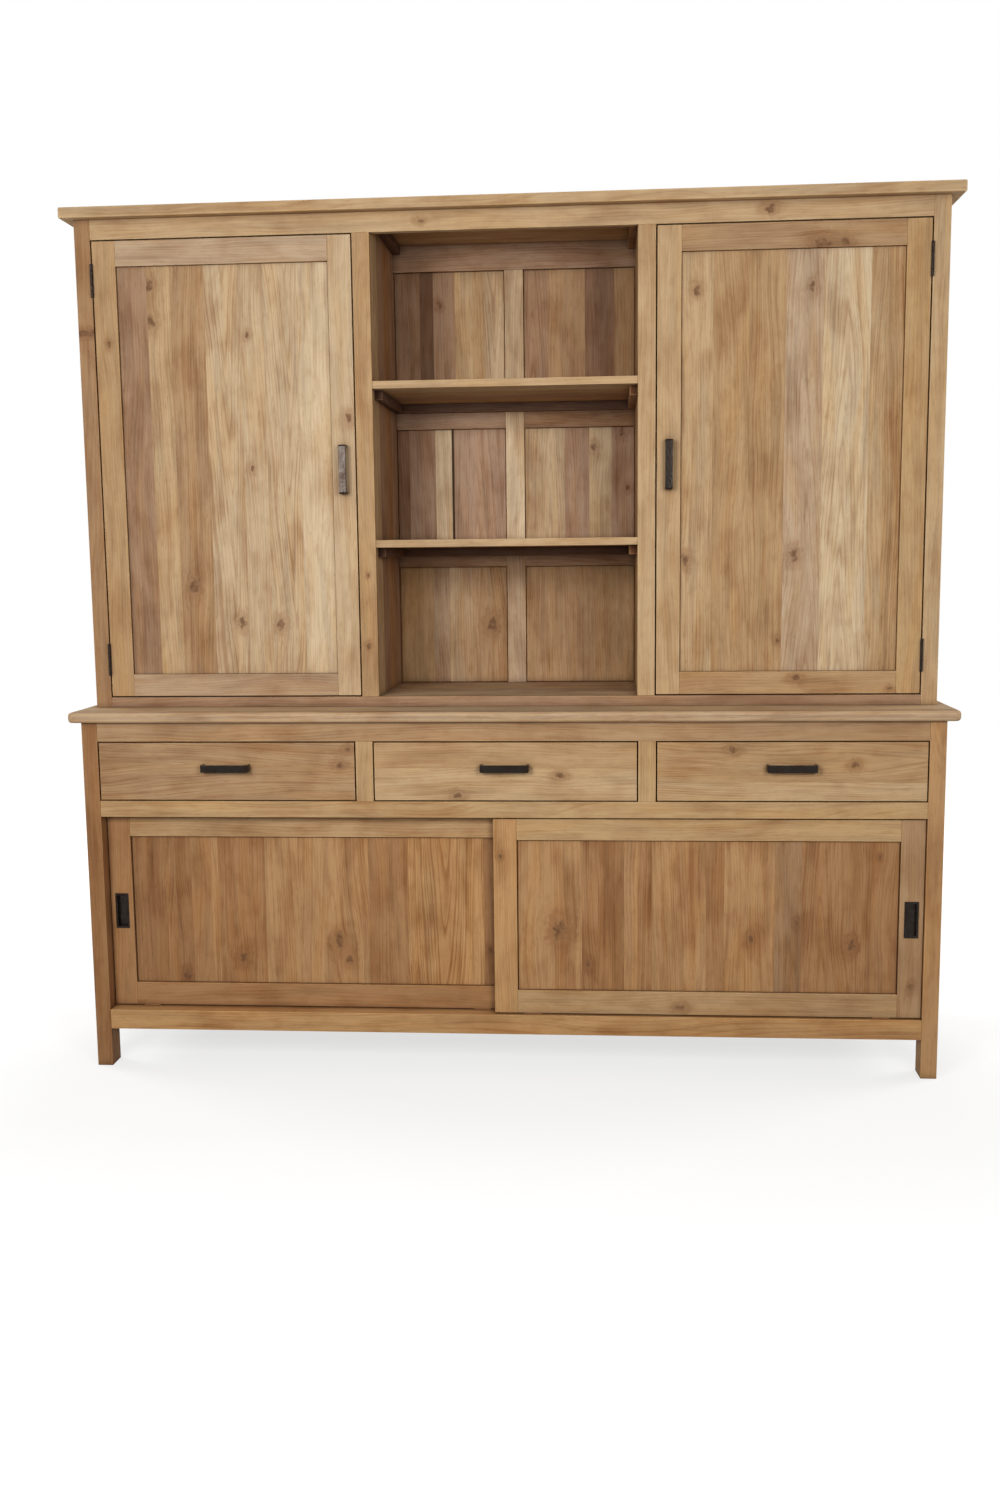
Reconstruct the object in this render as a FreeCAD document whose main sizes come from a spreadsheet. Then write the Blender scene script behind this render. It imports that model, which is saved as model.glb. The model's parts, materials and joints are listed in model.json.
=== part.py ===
import FreeCAD, Part
import math
import os
import Sketcher

# Two-part teak cupboard: a hutch with two hinged doors and an open bay,
# on a base with drawers and sliding doors.
# Millimetres, +Z up, front towards -Y, origin on the floor under the middle of the whole cupboard.

SIZES = {
    # Shared frame
    "frame_width": 1980,
    "post_width": 37,
    "divider_width": 40,
    "rail_thickness": 22,
    "side_rail_thickness": 26,
    "side_panel_thickness": 15,
    "side_rail_height": 62,
    # Base
    "base_depth": 500,
    "leg_depth": 56,
    "leg_clearance": 92,
    "bottom_rail_height": 47,
    "slider_opening_height": 469,
    "middle_rail_height": 38,
    "drawer_opening_height": 140,
    "top_rail_height": 45,
    "worktop_thickness": 24,
    "worktop_side_overhang": 28,
    "worktop_front_overhang": 17,
    "worktop_rounding": 5,
    "floor_thickness": 18,
    "base_shelf_rise": 236,
    "base_shelf_setback": 20,
    # Hutch
    "hutch_setback": 110,
    "hutch_post_depth": 45,
    "hutch_bottom_rail_height": 24,
    "hutch_opening_height": 1057,
    "hutch_top_rail_height": 45,
    "cornice_thickness": 24,
    "cornice_side_overhang": 27,
    "cornice_front_overhang": 26,
    "cornice_rounding": 3,
    "partition_thickness": 18,
    "shelf_thickness": 17,
    "upper_shelf_rise": 728,
    "lower_shelf_rise": 366,
    "bay_shelf_setback": 2,
    "side_shelf_setback": 42,
    "cleat_width": 18,
    "cleat_height": 22,
    "cleat_setback": 34,
    # Back
    "back_frame_thickness": 20,
    "back_panel_thickness": 10,
    "back_panel_recess": 5,
    "back_muntin_width": 47,
    "back_top_rail_height": 64,
    "upper_back_rail_drop": 62,
    "lower_back_rail_drop": 49,
    # Hinged doors
    "door_gap": 3,
    "door_thickness": 22,
    "door_stile_width": 54,
    "door_top_rail_height": 57,
    "door_bottom_rail_height": 52,
    "door_panel_recess": 6,
    "door_panel_thickness": 10,
    "door_stop_size": 16,
    "door_stop_length": 50,
    "door_stop_clearance": 0.5,
    # Butt hinges
    "hinge_height": 75,
    "hinge_inset": 88,
    "hinge_leaf_width": 20,
    "barrel_radius": 3.2,
    "barrel_clearance": 0.4,
    "pin_radius": 1.6,
    "pin_clearance": 0.05,
    # Sliding doors
    "slider_thickness": 22,
    "slider_overlap": 58,
    "slider_end_gap": 1.5,
    "slider_glide_thickness": 3,
    "slider_top_gap": 3.5,
    "slider_stile_width": 54,
    "slider_top_rail_height": 50,
    "slider_bottom_rail_height": 55,
    "front_track_setback": 8,
    "track_gap": 6,
    "guide_groove_width": 10,
    "guide_groove_depth": 9,
    "guide_tongue_clearance": 1,
    "guide_tongue_rise": 6,
    "guide_length": 40,
    "guide_inset": 70,
    "fin_thickness": 3,
    "fin_height": 12,
    "kerf_clearance": 1,
    # Recessed pulls
    "pull_width": 32,
    "pull_height": 85,
    "pull_plate_thickness": 1.5,
    "pull_rim": 5,
    "pull_wall": 1.5,
    "pull_cup_depth": 11,
    "pull_mortise_clearance": 0.3,
    # Strap handles
    "handle_length": 112,
    "handle_width": 17,
    "handle_strap": 5,
    "handle_projection": 24,
    "handle_bend": 4,
    "drawer_handle_rise": 9,
    # Drawers
    "drawer_gap": 3,
    "drawer_front_thickness": 20,
    "drawer_side_thickness": 12,
    "drawer_side_clearance": 6,
    "drawer_box_height": 108,
    "drawer_box_depth": 420,
    "drawer_bottom_thickness": 6,
    "drawer_bottom_rise": 8,
    "drawer_guide_clearance": 1,
    "drawer_guide_height": 30,
}

KNUCKLES = 5
# How near an edge's middle lies to a side of the box to count as on it
TOUCH = 0.01
# The most of a pull's blank that may be left once it is hollowed
HOLLOWED_SHARE = 0.8

doc = FreeCAD.newDocument("Cupboard")
sheet = doc.addObject("Spreadsheet::Sheet", "Sizes")
for row, (alias, value) in enumerate(SIZES.items(), start=1):
    sheet.set(f"A{row}", alias)
    sheet.set(f"B{row}", str(value))
    sheet.setAlias(f"B{row}", alias)
doc.recompute()

# Lines across the width, from the middle outwards
HALF = "(Sizes.frame_width / 2)"
INNER = f"({HALF} - Sizes.post_width)"
BAY = "((Sizes.frame_width - 2 * Sizes.post_width - 2 * Sizes.divider_width) / 3)"
BAY_HALF = f"({BAY} / 2)"
DIVIDER_OUT = f"({BAY_HALF} + Sizes.divider_width)"
DIVIDER_MIDDLE = f"({BAY_HALF} + Sizes.divider_width / 2)"
SIDE_BAY_MIDDLE = f"(({DIVIDER_OUT} + {INNER}) / 2)"
PARTITION_OUT = f"({BAY_HALF} + Sizes.partition_thickness)"

# Lines through the depth, from the front backwards
FRONT = "((Sizes.handle_projection - Sizes.base_depth) / 2)"
BACK = f"({FRONT} + Sizes.base_depth)"
BACK_INSIDE = f"({BACK} - Sizes.back_frame_thickness)"
RAIL_BACK = f"({FRONT} + Sizes.rail_thickness)"
FRONT_TRACK = f"({FRONT} + Sizes.front_track_setback)"
REAR_TRACK = f"({FRONT_TRACK} + Sizes.slider_thickness + Sizes.track_gap)"
TRACK_BACK = f"({REAR_TRACK} + Sizes.slider_thickness + Sizes.track_gap)"
HUTCH_FRONT = f"({FRONT} + Sizes.hutch_setback)"
HUTCH_RAIL_BACK = f"({HUTCH_FRONT} + Sizes.rail_thickness)"

# Levels, from the floor upwards
LEDGE = "(Sizes.leg_clearance + Sizes.bottom_rail_height)"
MIDDLE_RAIL_LOW = f"({LEDGE} + Sizes.slider_opening_height)"
DECK = f"({MIDDLE_RAIL_LOW} + Sizes.middle_rail_height)"
TOP_RAIL_LOW = f"({DECK} + Sizes.drawer_opening_height)"
WORKTOP_LOW = f"({TOP_RAIL_LOW} + Sizes.top_rail_height)"
WORKTOP_TOP = f"({WORKTOP_LOW} + Sizes.worktop_thickness)"
HUTCH_FLOOR = f"({WORKTOP_TOP} + Sizes.hutch_bottom_rail_height)"
HUTCH_RAIL_LOW = f"({HUTCH_FLOOR} + Sizes.hutch_opening_height)"
CORNICE_LOW = f"({HUTCH_RAIL_LOW} + Sizes.hutch_top_rail_height)"
CORNICE_TOP = f"({CORNICE_LOW} + Sizes.cornice_thickness)"
BASE_SHELF_TOP = f"({LEDGE} + Sizes.base_shelf_rise)"
BASE_SHELF_LOW = f"({BASE_SHELF_TOP} - Sizes.shelf_thickness)"
SHELF_TOPS = {place: f"({HUTCH_FLOOR} + Sizes.{place}_shelf_rise)" for place in ("lower", "upper")}

# Sizes that a recessed pull shares with its mortise
PULL_HOLLOW_WIDTH = "(Sizes.pull_width - 2 * Sizes.pull_rim)"
PULL_HOLLOW_HEIGHT = "(Sizes.pull_height - 2 * Sizes.pull_rim)"
PULL_CUP_WIDTH = f"({PULL_HOLLOW_WIDTH} + 2 * Sizes.pull_wall)"
PULL_CUP_HEIGHT = f"({PULL_HOLLOW_HEIGHT} + 2 * Sizes.pull_wall)"

SIDES = ("left", "right")
pieces = []


def plus(*terms):
    """The sum of expressions, in brackets."""
    return "(" + " + ".join(terms) + ")"


def minus(first, *others):
    """The first expression less the others, in brackets."""
    return "(" + " - ".join((first,) + others) + ")"


def on_side(place, side):
    """A place across the width, as it is on the right or turned over to the left."""
    return place if side == "right" else f"(-{place})"


def mirrored(span, side):
    """A span across the width, as it is on the right or turned over to the left."""
    low, high = span
    if side == "right":
        return span
    return on_side(high, side), on_side(low, side)


def about(middle, size):
    """A span of a size, centred on an expression."""
    return minus(middle, f"{size} / 2"), plus(middle, f"{size} / 2")


def node(label, piece):
    """Register a finished piece, whose label names its file."""
    piece.Label = label
    pieces.append(piece)
    return piece


def board(name, x, y, z):
    """A sawn board between a low and a high expression on each axis."""
    box = doc.addObject("Part::Box", name)
    for size, axis, (low, high) in (("Length", "x", x), ("Width", "y", y), ("Height", "z", z)):
        box.setExpression(size, f"{high} - {low}")
        box.setExpression(f"Placement.Base.{axis}", low)
    return box


def rod(name, x, y, z, radius):
    """An upright round bar about x and y, over a span of levels."""
    low, high = z
    bar = doc.addObject("Part::Cylinder", name)
    bar.setExpression("Radius", radius)
    bar.setExpression("Height", f"{high} - {low}")
    for axis, place in (("x", x), ("y", y), ("z", low)):
        bar.setExpression(f"Placement.Base.{axis}", place)
    return bar


def group(label, members):
    """Separate solids that share one node."""
    compound = doc.addObject("Part::Compound", label)
    compound.Links = members
    return node(label, compound)


def cut(name, base, tools):
    """A piece with other shapes taken out of it."""
    hollow = doc.addObject("Part::Compound", f"{name}_hollow")
    hollow.Links = tools
    result = doc.addObject("Part::Cut", name)
    result.Base = base
    result.Tool = hollow
    return result


def body_at(label, x, y, z):
    """An empty body whose origin is placed by three expressions."""
    body = doc.addObject("PartDesign::Body", label)
    for axis, place in (("x", x), ("y", y), ("z", z)):
        body.setExpression(f"Placement.Base.{axis}", place)
    return node(label, body)


def outline(body, name, role, corners, lift="0"):
    """A closed polygon on one of the body's origin planes, each corner pinned by two expressions."""
    drawing = body.newObject("Sketcher::SketchObject", name)
    plane = next(origin for origin in body.Origin.OriginFeatures if origin.Role == role)
    drawing.AttachmentSupport = [(plane, "")]
    drawing.MapMode = "FlatFace"
    drawing.setExpression("AttachmentOffset.Base.z", lift)
    count = len(corners)
    turns = [2 * math.pi * i / count for i in range(count)]
    ring = [FreeCAD.Vector(math.cos(turn), math.sin(turn)) for turn in turns]
    for i in range(count):
        drawing.addGeometry(Part.LineSegment(ring[i], ring[(i + 1) % count]))
    for i in range(count):
        drawing.addConstraint(Sketcher.Constraint("Coincident", i, 2, (i + 1) % count, 1))
    for i, corner in enumerate(corners):
        for kind, place, start in zip(("DistanceX", "DistanceY"), corner, ring[i]):
            index = drawing.addConstraint(Sketcher.Constraint(kind, -1, 1, i, 1, start))
            drawing.setExpression(f"Constraints[{index}]", place)
    doc.recompute()
    return drawing


def rectangle(x, y):
    """The four corners of a rectangle between two spans."""
    return [(x[0], y[0]), (x[1], y[0]), (x[1], y[1]), (x[0], y[1])]


def feature(body, kind, profile, length, backwards=False):
    """A pad or a pocket of a drawing."""
    step = body.newObject(f"PartDesign::{kind}", f"{body.Name}_{profile.Name}_{kind.lower()}")
    step.Profile = profile
    step.setExpression("Length", length)
    step.Reversed = backwards
    doc.recompute()
    return step


def ease(body, base, radius, wanted):
    """Round the edges of a feature that pass a test on their middle and on the feature's box."""
    box = base.Shape.BoundBox
    edges = enumerate(base.Shape.Edges, start=1)
    names = [f"Edge{number}" for number, edge in edges if wanted(edge.CenterOfMass, box)]
    rounding = body.newObject("PartDesign::Fillet", f"{body.Name}_rounding")
    rounding.Base = (base, names)
    rounding.setExpression("Radius", radius)
    doc.recompute()
    return rounding


def top_board(label, half_width, y, z, radius):
    """A wide board with rounded front and side edges and a square back."""
    body = body_at(label, "0", y[0], z[0])
    plan = rectangle((f"(-{half_width})", half_width), ("0", minus(y[1], y[0])))
    pad = feature(body, "Pad", outline(body, f"{label}_plan", "XY_Plane", plan), minus(z[1], z[0]))
    ease(body, pad, radius, lambda middle, box: middle.y < box.YMax - TOUCH)
    return body


def strap_handle(label, x, face, z, upright):
    """A flat iron strap bent back at both ends, centred on x and z and standing on a front face."""
    half_width = "Sizes.handle_width / 2"
    if upright:
        body = body_at(label, minus(x, half_width), face, z)
        body.Placement = FreeCAD.Placement(FreeCAD.Vector(), FreeCAD.Rotation(FreeCAD.Vector(0, 1, 0), 90))
    else:
        body = body_at(label, x, face, minus(z, half_width))
    end = "(Sizes.handle_length / 2)"
    end_inside = f"({end} - Sizes.handle_strap)"
    grip = "(-Sizes.handle_projection)"
    grip_inside = f"({grip} + Sizes.handle_strap)"
    corners = [
        (f"(-{end})", "0"), (f"(-{end})", grip), (end, grip), (end, "0"), (end_inside, "0"),
        (end_inside, grip_inside), (f"(-{end_inside})", grip_inside), (f"(-{end_inside})", "0"),
    ]
    pad = feature(body, "Pad", outline(body, f"{label}_side", "XY_Plane", corners), "Sizes.handle_width")
    ease(body, pad, "Sizes.handle_bend",
         lambda middle, box: middle.y < box.YMin + TOUCH and abs(middle.x) > box.XMax - TOUCH)
    return body


def recessed_pull(label, x, face, z):
    """An iron finger pull: a thin plate on the stile's face with a cup let into the stile behind it."""
    body = body_at(label, x, face, z)
    middle = "0"
    plate = rectangle(about(middle, "Sizes.pull_width"), about(middle, "Sizes.pull_height"))
    cup = rectangle(about(middle, PULL_CUP_WIDTH), about(middle, PULL_CUP_HEIGHT))
    hollow = rectangle(about(middle, PULL_HOLLOW_WIDTH), about(middle, PULL_HOLLOW_HEIGHT))
    plate_plan = outline(body, f"{label}_plate", "XZ_Plane", plate)
    feature(body, "Pad", plate_plan, "Sizes.pull_plate_thickness")
    cup_plan = outline(body, f"{label}_cup", "XZ_Plane", cup)
    feature(body, "Pad", cup_plan, "Sizes.pull_cup_depth", backwards=True)
    solid_volume = body.Shape.Volume
    mouth = outline(body, f"{label}_hollow", "XZ_Plane", hollow, lift="Sizes.pull_plate_thickness")
    feature(body, "Pocket", mouth, "Sizes.pull_plate_thickness + Sizes.pull_cup_depth - Sizes.pull_wall")
    if body.Shape.Volume > HOLLOWED_SHARE * solid_volume:
        raise RuntimeError(f"{label}: the pull was not hollowed")
    return body


def framed(name, x, y, z, stile, top, bottom):
    """The two stiles and two rails of a door, with stiles that run the full height."""
    inside = (plus(x[0], stile), minus(x[1], stile))
    return [
        board(f"{name}_left_stile", (x[0], inside[0]), y, z),
        board(f"{name}_right_stile", (inside[1], x[1]), y, z),
        board(f"{name}_top_rail", inside, y, (minus(z[1], top), z[1])),
        board(f"{name}_bottom_rail", inside, y, (z[0], plus(z[0], bottom))),
    ]


def door_panel(label, x, y, z, stile, top, bottom):
    """The glued plank panel that sits back from the face of a door's frame."""
    face = plus(y[0], "Sizes.door_panel_recess")
    return node(label, board(
        label,
        (plus(x[0], stile), minus(x[1], stile)),
        (face, plus(face, "Sizes.door_panel_thickness")),
        (plus(z[0], bottom), minus(z[1], top)),
    ))


def hinge_leaf(name, side, x, y, middle, owner):
    """One leaf of a butt hinge: a plate in the gap beside the door, with its share of the knuckles."""
    leaf = "Sizes.door_gap / 2"
    towards_post = owner == "post"
    if towards_post == (side == "left"):
        across = (minus(x, leaf), x)
    else:
        across = (x, plus(x, leaf))
    low = minus(middle, "Sizes.hinge_height / 2")
    plate_front = plus(y, "Sizes.barrel_radius", "Sizes.barrel_clearance")
    plate_back = plus(plate_front, "Sizes.hinge_leaf_width")
    high = plus(low, "Sizes.hinge_height")
    members = [board(f"{name}_plate", across, (plate_front, plate_back), (low, high))]
    for knuckle in range(0 if towards_post else 1, KNUCKLES, 2):
        start = plus(low, f"{knuckle} * Sizes.hinge_height / {KNUCKLES}")
        end = plus(low, f"{knuckle + 1} * Sizes.hinge_height / {KNUCKLES}")
        if knuckle > 0:
            start = plus(start, "Sizes.barrel_clearance / 2")
        if knuckle < KNUCKLES - 1:
            end = minus(end, "Sizes.barrel_clearance / 2")
        members.append(rod(f"{name}_knuckle_{knuckle}", x, y, (start, end), "Sizes.barrel_radius"))
        members.append(board(f"{name}_web_{knuckle}", across, (y, plate_front), (start, end)))
    whole = doc.addObject("Part::MultiFuse", f"{name}_whole")
    whole.Shapes = members
    level = (minus(low, "Sizes.barrel_clearance"), plus(high, "Sizes.barrel_clearance"))
    bore = rod(f"{name}_bore", x, y, level, "Sizes.pin_radius + Sizes.pin_clearance")
    return cut(name, whole, [bore])


def base_frame():
    """Legs, front rails, drawer uprights and worktop."""
    for depth, y in (("front", (FRONT, plus(FRONT, "Sizes.leg_depth"))),
                     ("rear", (minus(BACK, "Sizes.leg_depth"), BACK))):
        for side in SIDES:
            label = f"{depth}_{side}_leg"
            node(label, board(label, mirrored((INNER, HALF), side), y, ("0", WORKTOP_LOW)))
    across = (f"(-{INNER})", INNER)
    node("base_top_rail", board("base_top_rail", across, (FRONT, RAIL_BACK), (TOP_RAIL_LOW, WORKTOP_LOW)))
    low_rail_z = ("Sizes.leg_clearance", LEDGE)
    node("base_bottom_rail", board("base_bottom_rail", across, (FRONT, TRACK_BACK), low_rail_z))
    dividers = []
    for side in SIDES:
        x = mirrored((BAY_HALF, DIVIDER_OUT), side)
        dividers.append(board(f"{side}_drawer_divider", x, (FRONT, RAIL_BACK), (DECK, TOP_RAIL_LOW)))
    group("drawer_dividers", dividers)
    worktop_y = (minus(FRONT, "Sizes.worktop_front_overhang"), BACK)
    worktop_half = plus(HALF, "Sizes.worktop_side_overhang")
    top_board("worktop", worktop_half, worktop_y, (WORKTOP_LOW, WORKTOP_TOP), "Sizes.worktop_rounding")


def middle_rail():
    """The rail over the sliding doors, grooved underneath for their guide tongues."""
    body = body_at("base_middle_rail", f"(-{INNER})", "0", "0")
    corners = [(FRONT, MIDDLE_RAIL_LOW), (FRONT, DECK), (TRACK_BACK, DECK), (TRACK_BACK, MIDDLE_RAIL_LOW)]
    groove_top = plus(MIDDLE_RAIL_LOW, "Sizes.guide_groove_depth")
    for track in (REAR_TRACK, FRONT_TRACK):
        low, high = about(plus(track, "Sizes.slider_thickness / 2"), "Sizes.guide_groove_width")
        corners += [(high, MIDDLE_RAIL_LOW), (high, groove_top), (low, groove_top), (low, MIDDLE_RAIL_LOW)]
    section = outline(body, "middle_rail_section", "YZ_Plane", corners)
    feature(body, "Pad", section, f"2 * {INNER}")


def base_inside():
    """Cupboard floor, drawer deck and guides, centre partition, shelves and the sliding doors' fins."""
    across = (f"(-{INNER})", INNER)
    inside = (TRACK_BACK, BACK_INSIDE)
    node("base_floor", board("base_floor", across, inside, (minus(LEDGE, "Sizes.floor_thickness"), LEDGE)))
    deck_low = minus(DECK, "Sizes.floor_thickness")
    node("drawer_deck", board("drawer_deck", across, inside, (deck_low, DECK)))
    reach = minus("Sizes.drawer_side_clearance", "Sizes.drawer_guide_clearance")
    guide_spans = {
        "inner": (minus(BAY_HALF, reach), plus(DIVIDER_OUT, reach)),
        "outer": (minus(INNER, reach), INNER),
    }
    guide_y = (RAIL_BACK, BACK_INSIDE)
    guide_z = (DECK, plus(DECK, "Sizes.drawer_guide_height"))
    guides = []
    for side in SIDES:
        for place, x in guide_spans.items():
            guides.append(board(f"{side}_{place}_guide", mirrored(x, side), guide_y, guide_z))
    group("drawer_guides", guides)
    partition_x = about("0", "Sizes.partition_thickness")
    node("base_partition", board("base_partition", partition_x, inside, (LEDGE, deck_low)))
    shelves = []
    for side in SIDES:
        x = mirrored((partition_x[1], INNER), side)
        y = (plus(TRACK_BACK, "Sizes.base_shelf_setback"), BACK_INSIDE)
        shelves.append(board(f"{side}_base_shelf", x, y, (BASE_SHELF_LOW, BASE_SHELF_TOP)))
    group("base_shelves", shelves)
    fin_x = about("0", "Sizes.guide_length")
    fin_z = (LEDGE, plus(LEDGE, "Sizes.fin_height"))
    fins = []
    for place, track in (("front", FRONT_TRACK), ("rear", REAR_TRACK)):
        y = about(plus(track, "Sizes.slider_thickness / 2"), "Sizes.fin_thickness")
        fins.append(board(f"{place}_fin", fin_x, y, fin_z))
    group("slider_guide_fins", fins)


def hutch_frame():
    """Posts, inner stiles, front rails, floor, partitions and cornice."""
    full = (WORKTOP_TOP, CORNICE_LOW)
    front_post_y = (HUTCH_FRONT, plus(HUTCH_FRONT, "Sizes.hutch_post_depth"))
    rear_post_y = (minus(BACK, "Sizes.hutch_post_depth"), BACK)
    rear_posts = []
    for side in SIDES:
        x = mirrored((INNER, HALF), side)
        label = f"hutch_front_{side}_post"
        node(label, board(label, x, front_post_y, full))
        rear_posts.append(board(f"hutch_rear_{side}_post", x, rear_post_y, full))
        label = f"hutch_{side}_stile"
        x = mirrored((BAY_HALF, DIVIDER_OUT), side)
        node(label, board(label, x, (HUTCH_FRONT, HUTCH_RAIL_BACK), (HUTCH_FLOOR, HUTCH_RAIL_LOW)))
    group("hutch_rear_posts", rear_posts)
    across = (f"(-{INNER})", INNER)
    front = (HUTCH_FRONT, HUTCH_RAIL_BACK)
    inside = (HUTCH_RAIL_BACK, BACK_INSIDE)
    node("hutch_top_rail", board("hutch_top_rail", across, front, (HUTCH_RAIL_LOW, CORNICE_LOW)))
    node("hutch_bottom_rail", board("hutch_bottom_rail", across, front, (WORKTOP_TOP, HUTCH_FLOOR)))
    floor_z = (minus(HUTCH_FLOOR, "Sizes.floor_thickness"), HUTCH_FLOOR)
    node("hutch_floor", board("hutch_floor", across, inside, floor_z))
    partitions = []
    for side in SIDES:
        x = mirrored((BAY_HALF, PARTITION_OUT), side)
        partitions.append(board(f"{side}_partition", x, inside, (HUTCH_FLOOR, CORNICE_LOW)))
    group("bay_partitions", partitions)
    cornice_y = (minus(HUTCH_FRONT, "Sizes.cornice_front_overhang"), BACK)
    cornice_half = plus(HALF, "Sizes.cornice_side_overhang")
    top_board("cornice", cornice_half, cornice_y, (CORNICE_LOW, CORNICE_TOP), "Sizes.cornice_rounding")


def cleat_under(level):
    """The levels of a cleat that hangs under a board."""
    return minus(level, "Sizes.cleat_height"), level


def cleat_beside(low, high):
    """Where the two cleats of a bay lie across the width, each against one end of the bay."""
    return {
        "inner": (low, plus(low, "Sizes.cleat_width")),
        "outer": (minus(high, "Sizes.cleat_width"), high),
    }


def shelves_and_cleats():
    """Shelves of the three hutch bays, with the cleats and battens under every shelf and the cornice."""
    cleats = []
    bay_shelves = []
    side_shelves = []
    bay_x = (f"(-{BAY_HALF})", BAY_HALF)
    bay_cleat = (minus(BAY_HALF, "Sizes.cleat_width"), BAY_HALF)
    bay_shelf_y = (plus(HUTCH_FRONT, "Sizes.bay_shelf_setback"), BACK_INSIDE)
    bay_cleat_y = (plus(HUTCH_FRONT, "Sizes.cleat_setback"), BACK_INSIDE)
    side_shelf_y = (plus(HUTCH_FRONT, "Sizes.side_shelf_setback"), BACK_INSIDE)
    batten_x = (f"(-{bay_cleat[0]})", bay_cleat[0])
    batten_y = (minus(BACK_INSIDE, "Sizes.cleat_width"), BACK_INSIDE)
    for place, top in SHELF_TOPS.items():
        under = minus(top, "Sizes.shelf_thickness")
        level = cleat_under(under)
        bay_shelves.append(board(f"bay_{place}_shelf", bay_x, bay_shelf_y, (under, top)))
        cleats.append(board(f"{place}_batten", batten_x, batten_y, level))
        for side in SIDES:
            cleats.append(board(f"{side}_bay_{place}_cleat", mirrored(bay_cleat, side), bay_cleat_y, level))
            x = mirrored((PARTITION_OUT, INNER), side)
            side_shelves.append(board(f"{side}_{place}_shelf", x, side_shelf_y, (under, top)))
            for edge, span in cleat_beside(PARTITION_OUT, INNER).items():
                x = mirrored(span, side)
                cleats.append(board(f"{side}_{place}_{edge}_cleat", x, side_shelf_y, level))
    ceiling_y = (HUTCH_RAIL_BACK, BACK_INSIDE)
    base_y = (plus(TRACK_BACK, "Sizes.base_shelf_setback"), BACK_INSIDE)
    for side in SIDES:
        x = mirrored(bay_cleat, side)
        cleats.append(board(f"{side}_ceiling_batten", x, ceiling_y, cleat_under(CORNICE_LOW)))
        for edge, span in cleat_beside("(Sizes.partition_thickness / 2)", INNER).items():
            x = mirrored(span, side)
            cleats.append(board(f"{side}_base_{edge}_cleat", x, base_y, cleat_under(BASE_SHELF_LOW)))
    group("bay_shelves", bay_shelves)
    group("side_bay_shelves", side_shelves)
    group("shelf_cleats", cleats)


def door_stops():
    """A block behind the hutch's top rail for each door, whose lower half stops the door."""
    front = plus(HUTCH_RAIL_BACK, "Sizes.door_stop_clearance")
    rear = plus(HUTCH_RAIL_BACK, "Sizes.door_stop_size")
    upper = (HUTCH_RAIL_LOW, plus(HUTCH_RAIL_LOW, "Sizes.door_stop_size"))
    lower = (minus(HUTCH_RAIL_LOW, "Sizes.door_stop_size"), HUTCH_RAIL_LOW)
    start = plus(DIVIDER_OUT, "Sizes.door_gap", "Sizes.door_stile_width")
    stops = []
    for side in SIDES:
        x = mirrored((start, plus(start, "Sizes.door_stop_length")), side)
        root = board(f"{side}_stop_root", x, (HUTCH_RAIL_BACK, rear), upper)
        face = board(f"{side}_stop_face", x, (front, rear), lower)
        stop = doc.addObject("Part::MultiFuse", f"{side}_stop")
        stop.Shapes = [root, face]
        stops.append(stop)
    group("door_stops", stops)


def ends():
    """Side rails and side panels of base and hutch, flush with the posts on the inside."""
    rails = []
    panels = []
    base_y = (plus(FRONT, "Sizes.leg_depth"), minus(BACK, "Sizes.leg_depth"))
    hutch_y = (plus(HUTCH_FRONT, "Sizes.hutch_post_depth"), minus(BACK, "Sizes.hutch_post_depth"))
    spans = {
        "base": (base_y, "Sizes.leg_clearance", WORKTOP_LOW),
        "hutch": (hutch_y, WORKTOP_TOP, CORNICE_LOW),
    }
    for part, (y, low, high) in spans.items():
        rail_top = plus(low, "Sizes.side_rail_height")
        rail_low = minus(high, "Sizes.side_rail_height")
        for side in SIDES:
            rail_x = mirrored((INNER, plus(INNER, "Sizes.side_rail_thickness")), side)
            panel_x = mirrored((INNER, plus(INNER, "Sizes.side_panel_thickness")), side)
            rails.append(board(f"{part}_{side}_low_rail", rail_x, y, (low, rail_top)))
            rails.append(board(f"{part}_{side}_high_rail", rail_x, y, (rail_low, high)))
            panels.append(board(f"{part}_{side}_panel", panel_x, y, (rail_top, rail_low)))
    group("side_rails", rails)
    group("side_panels", panels)


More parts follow.
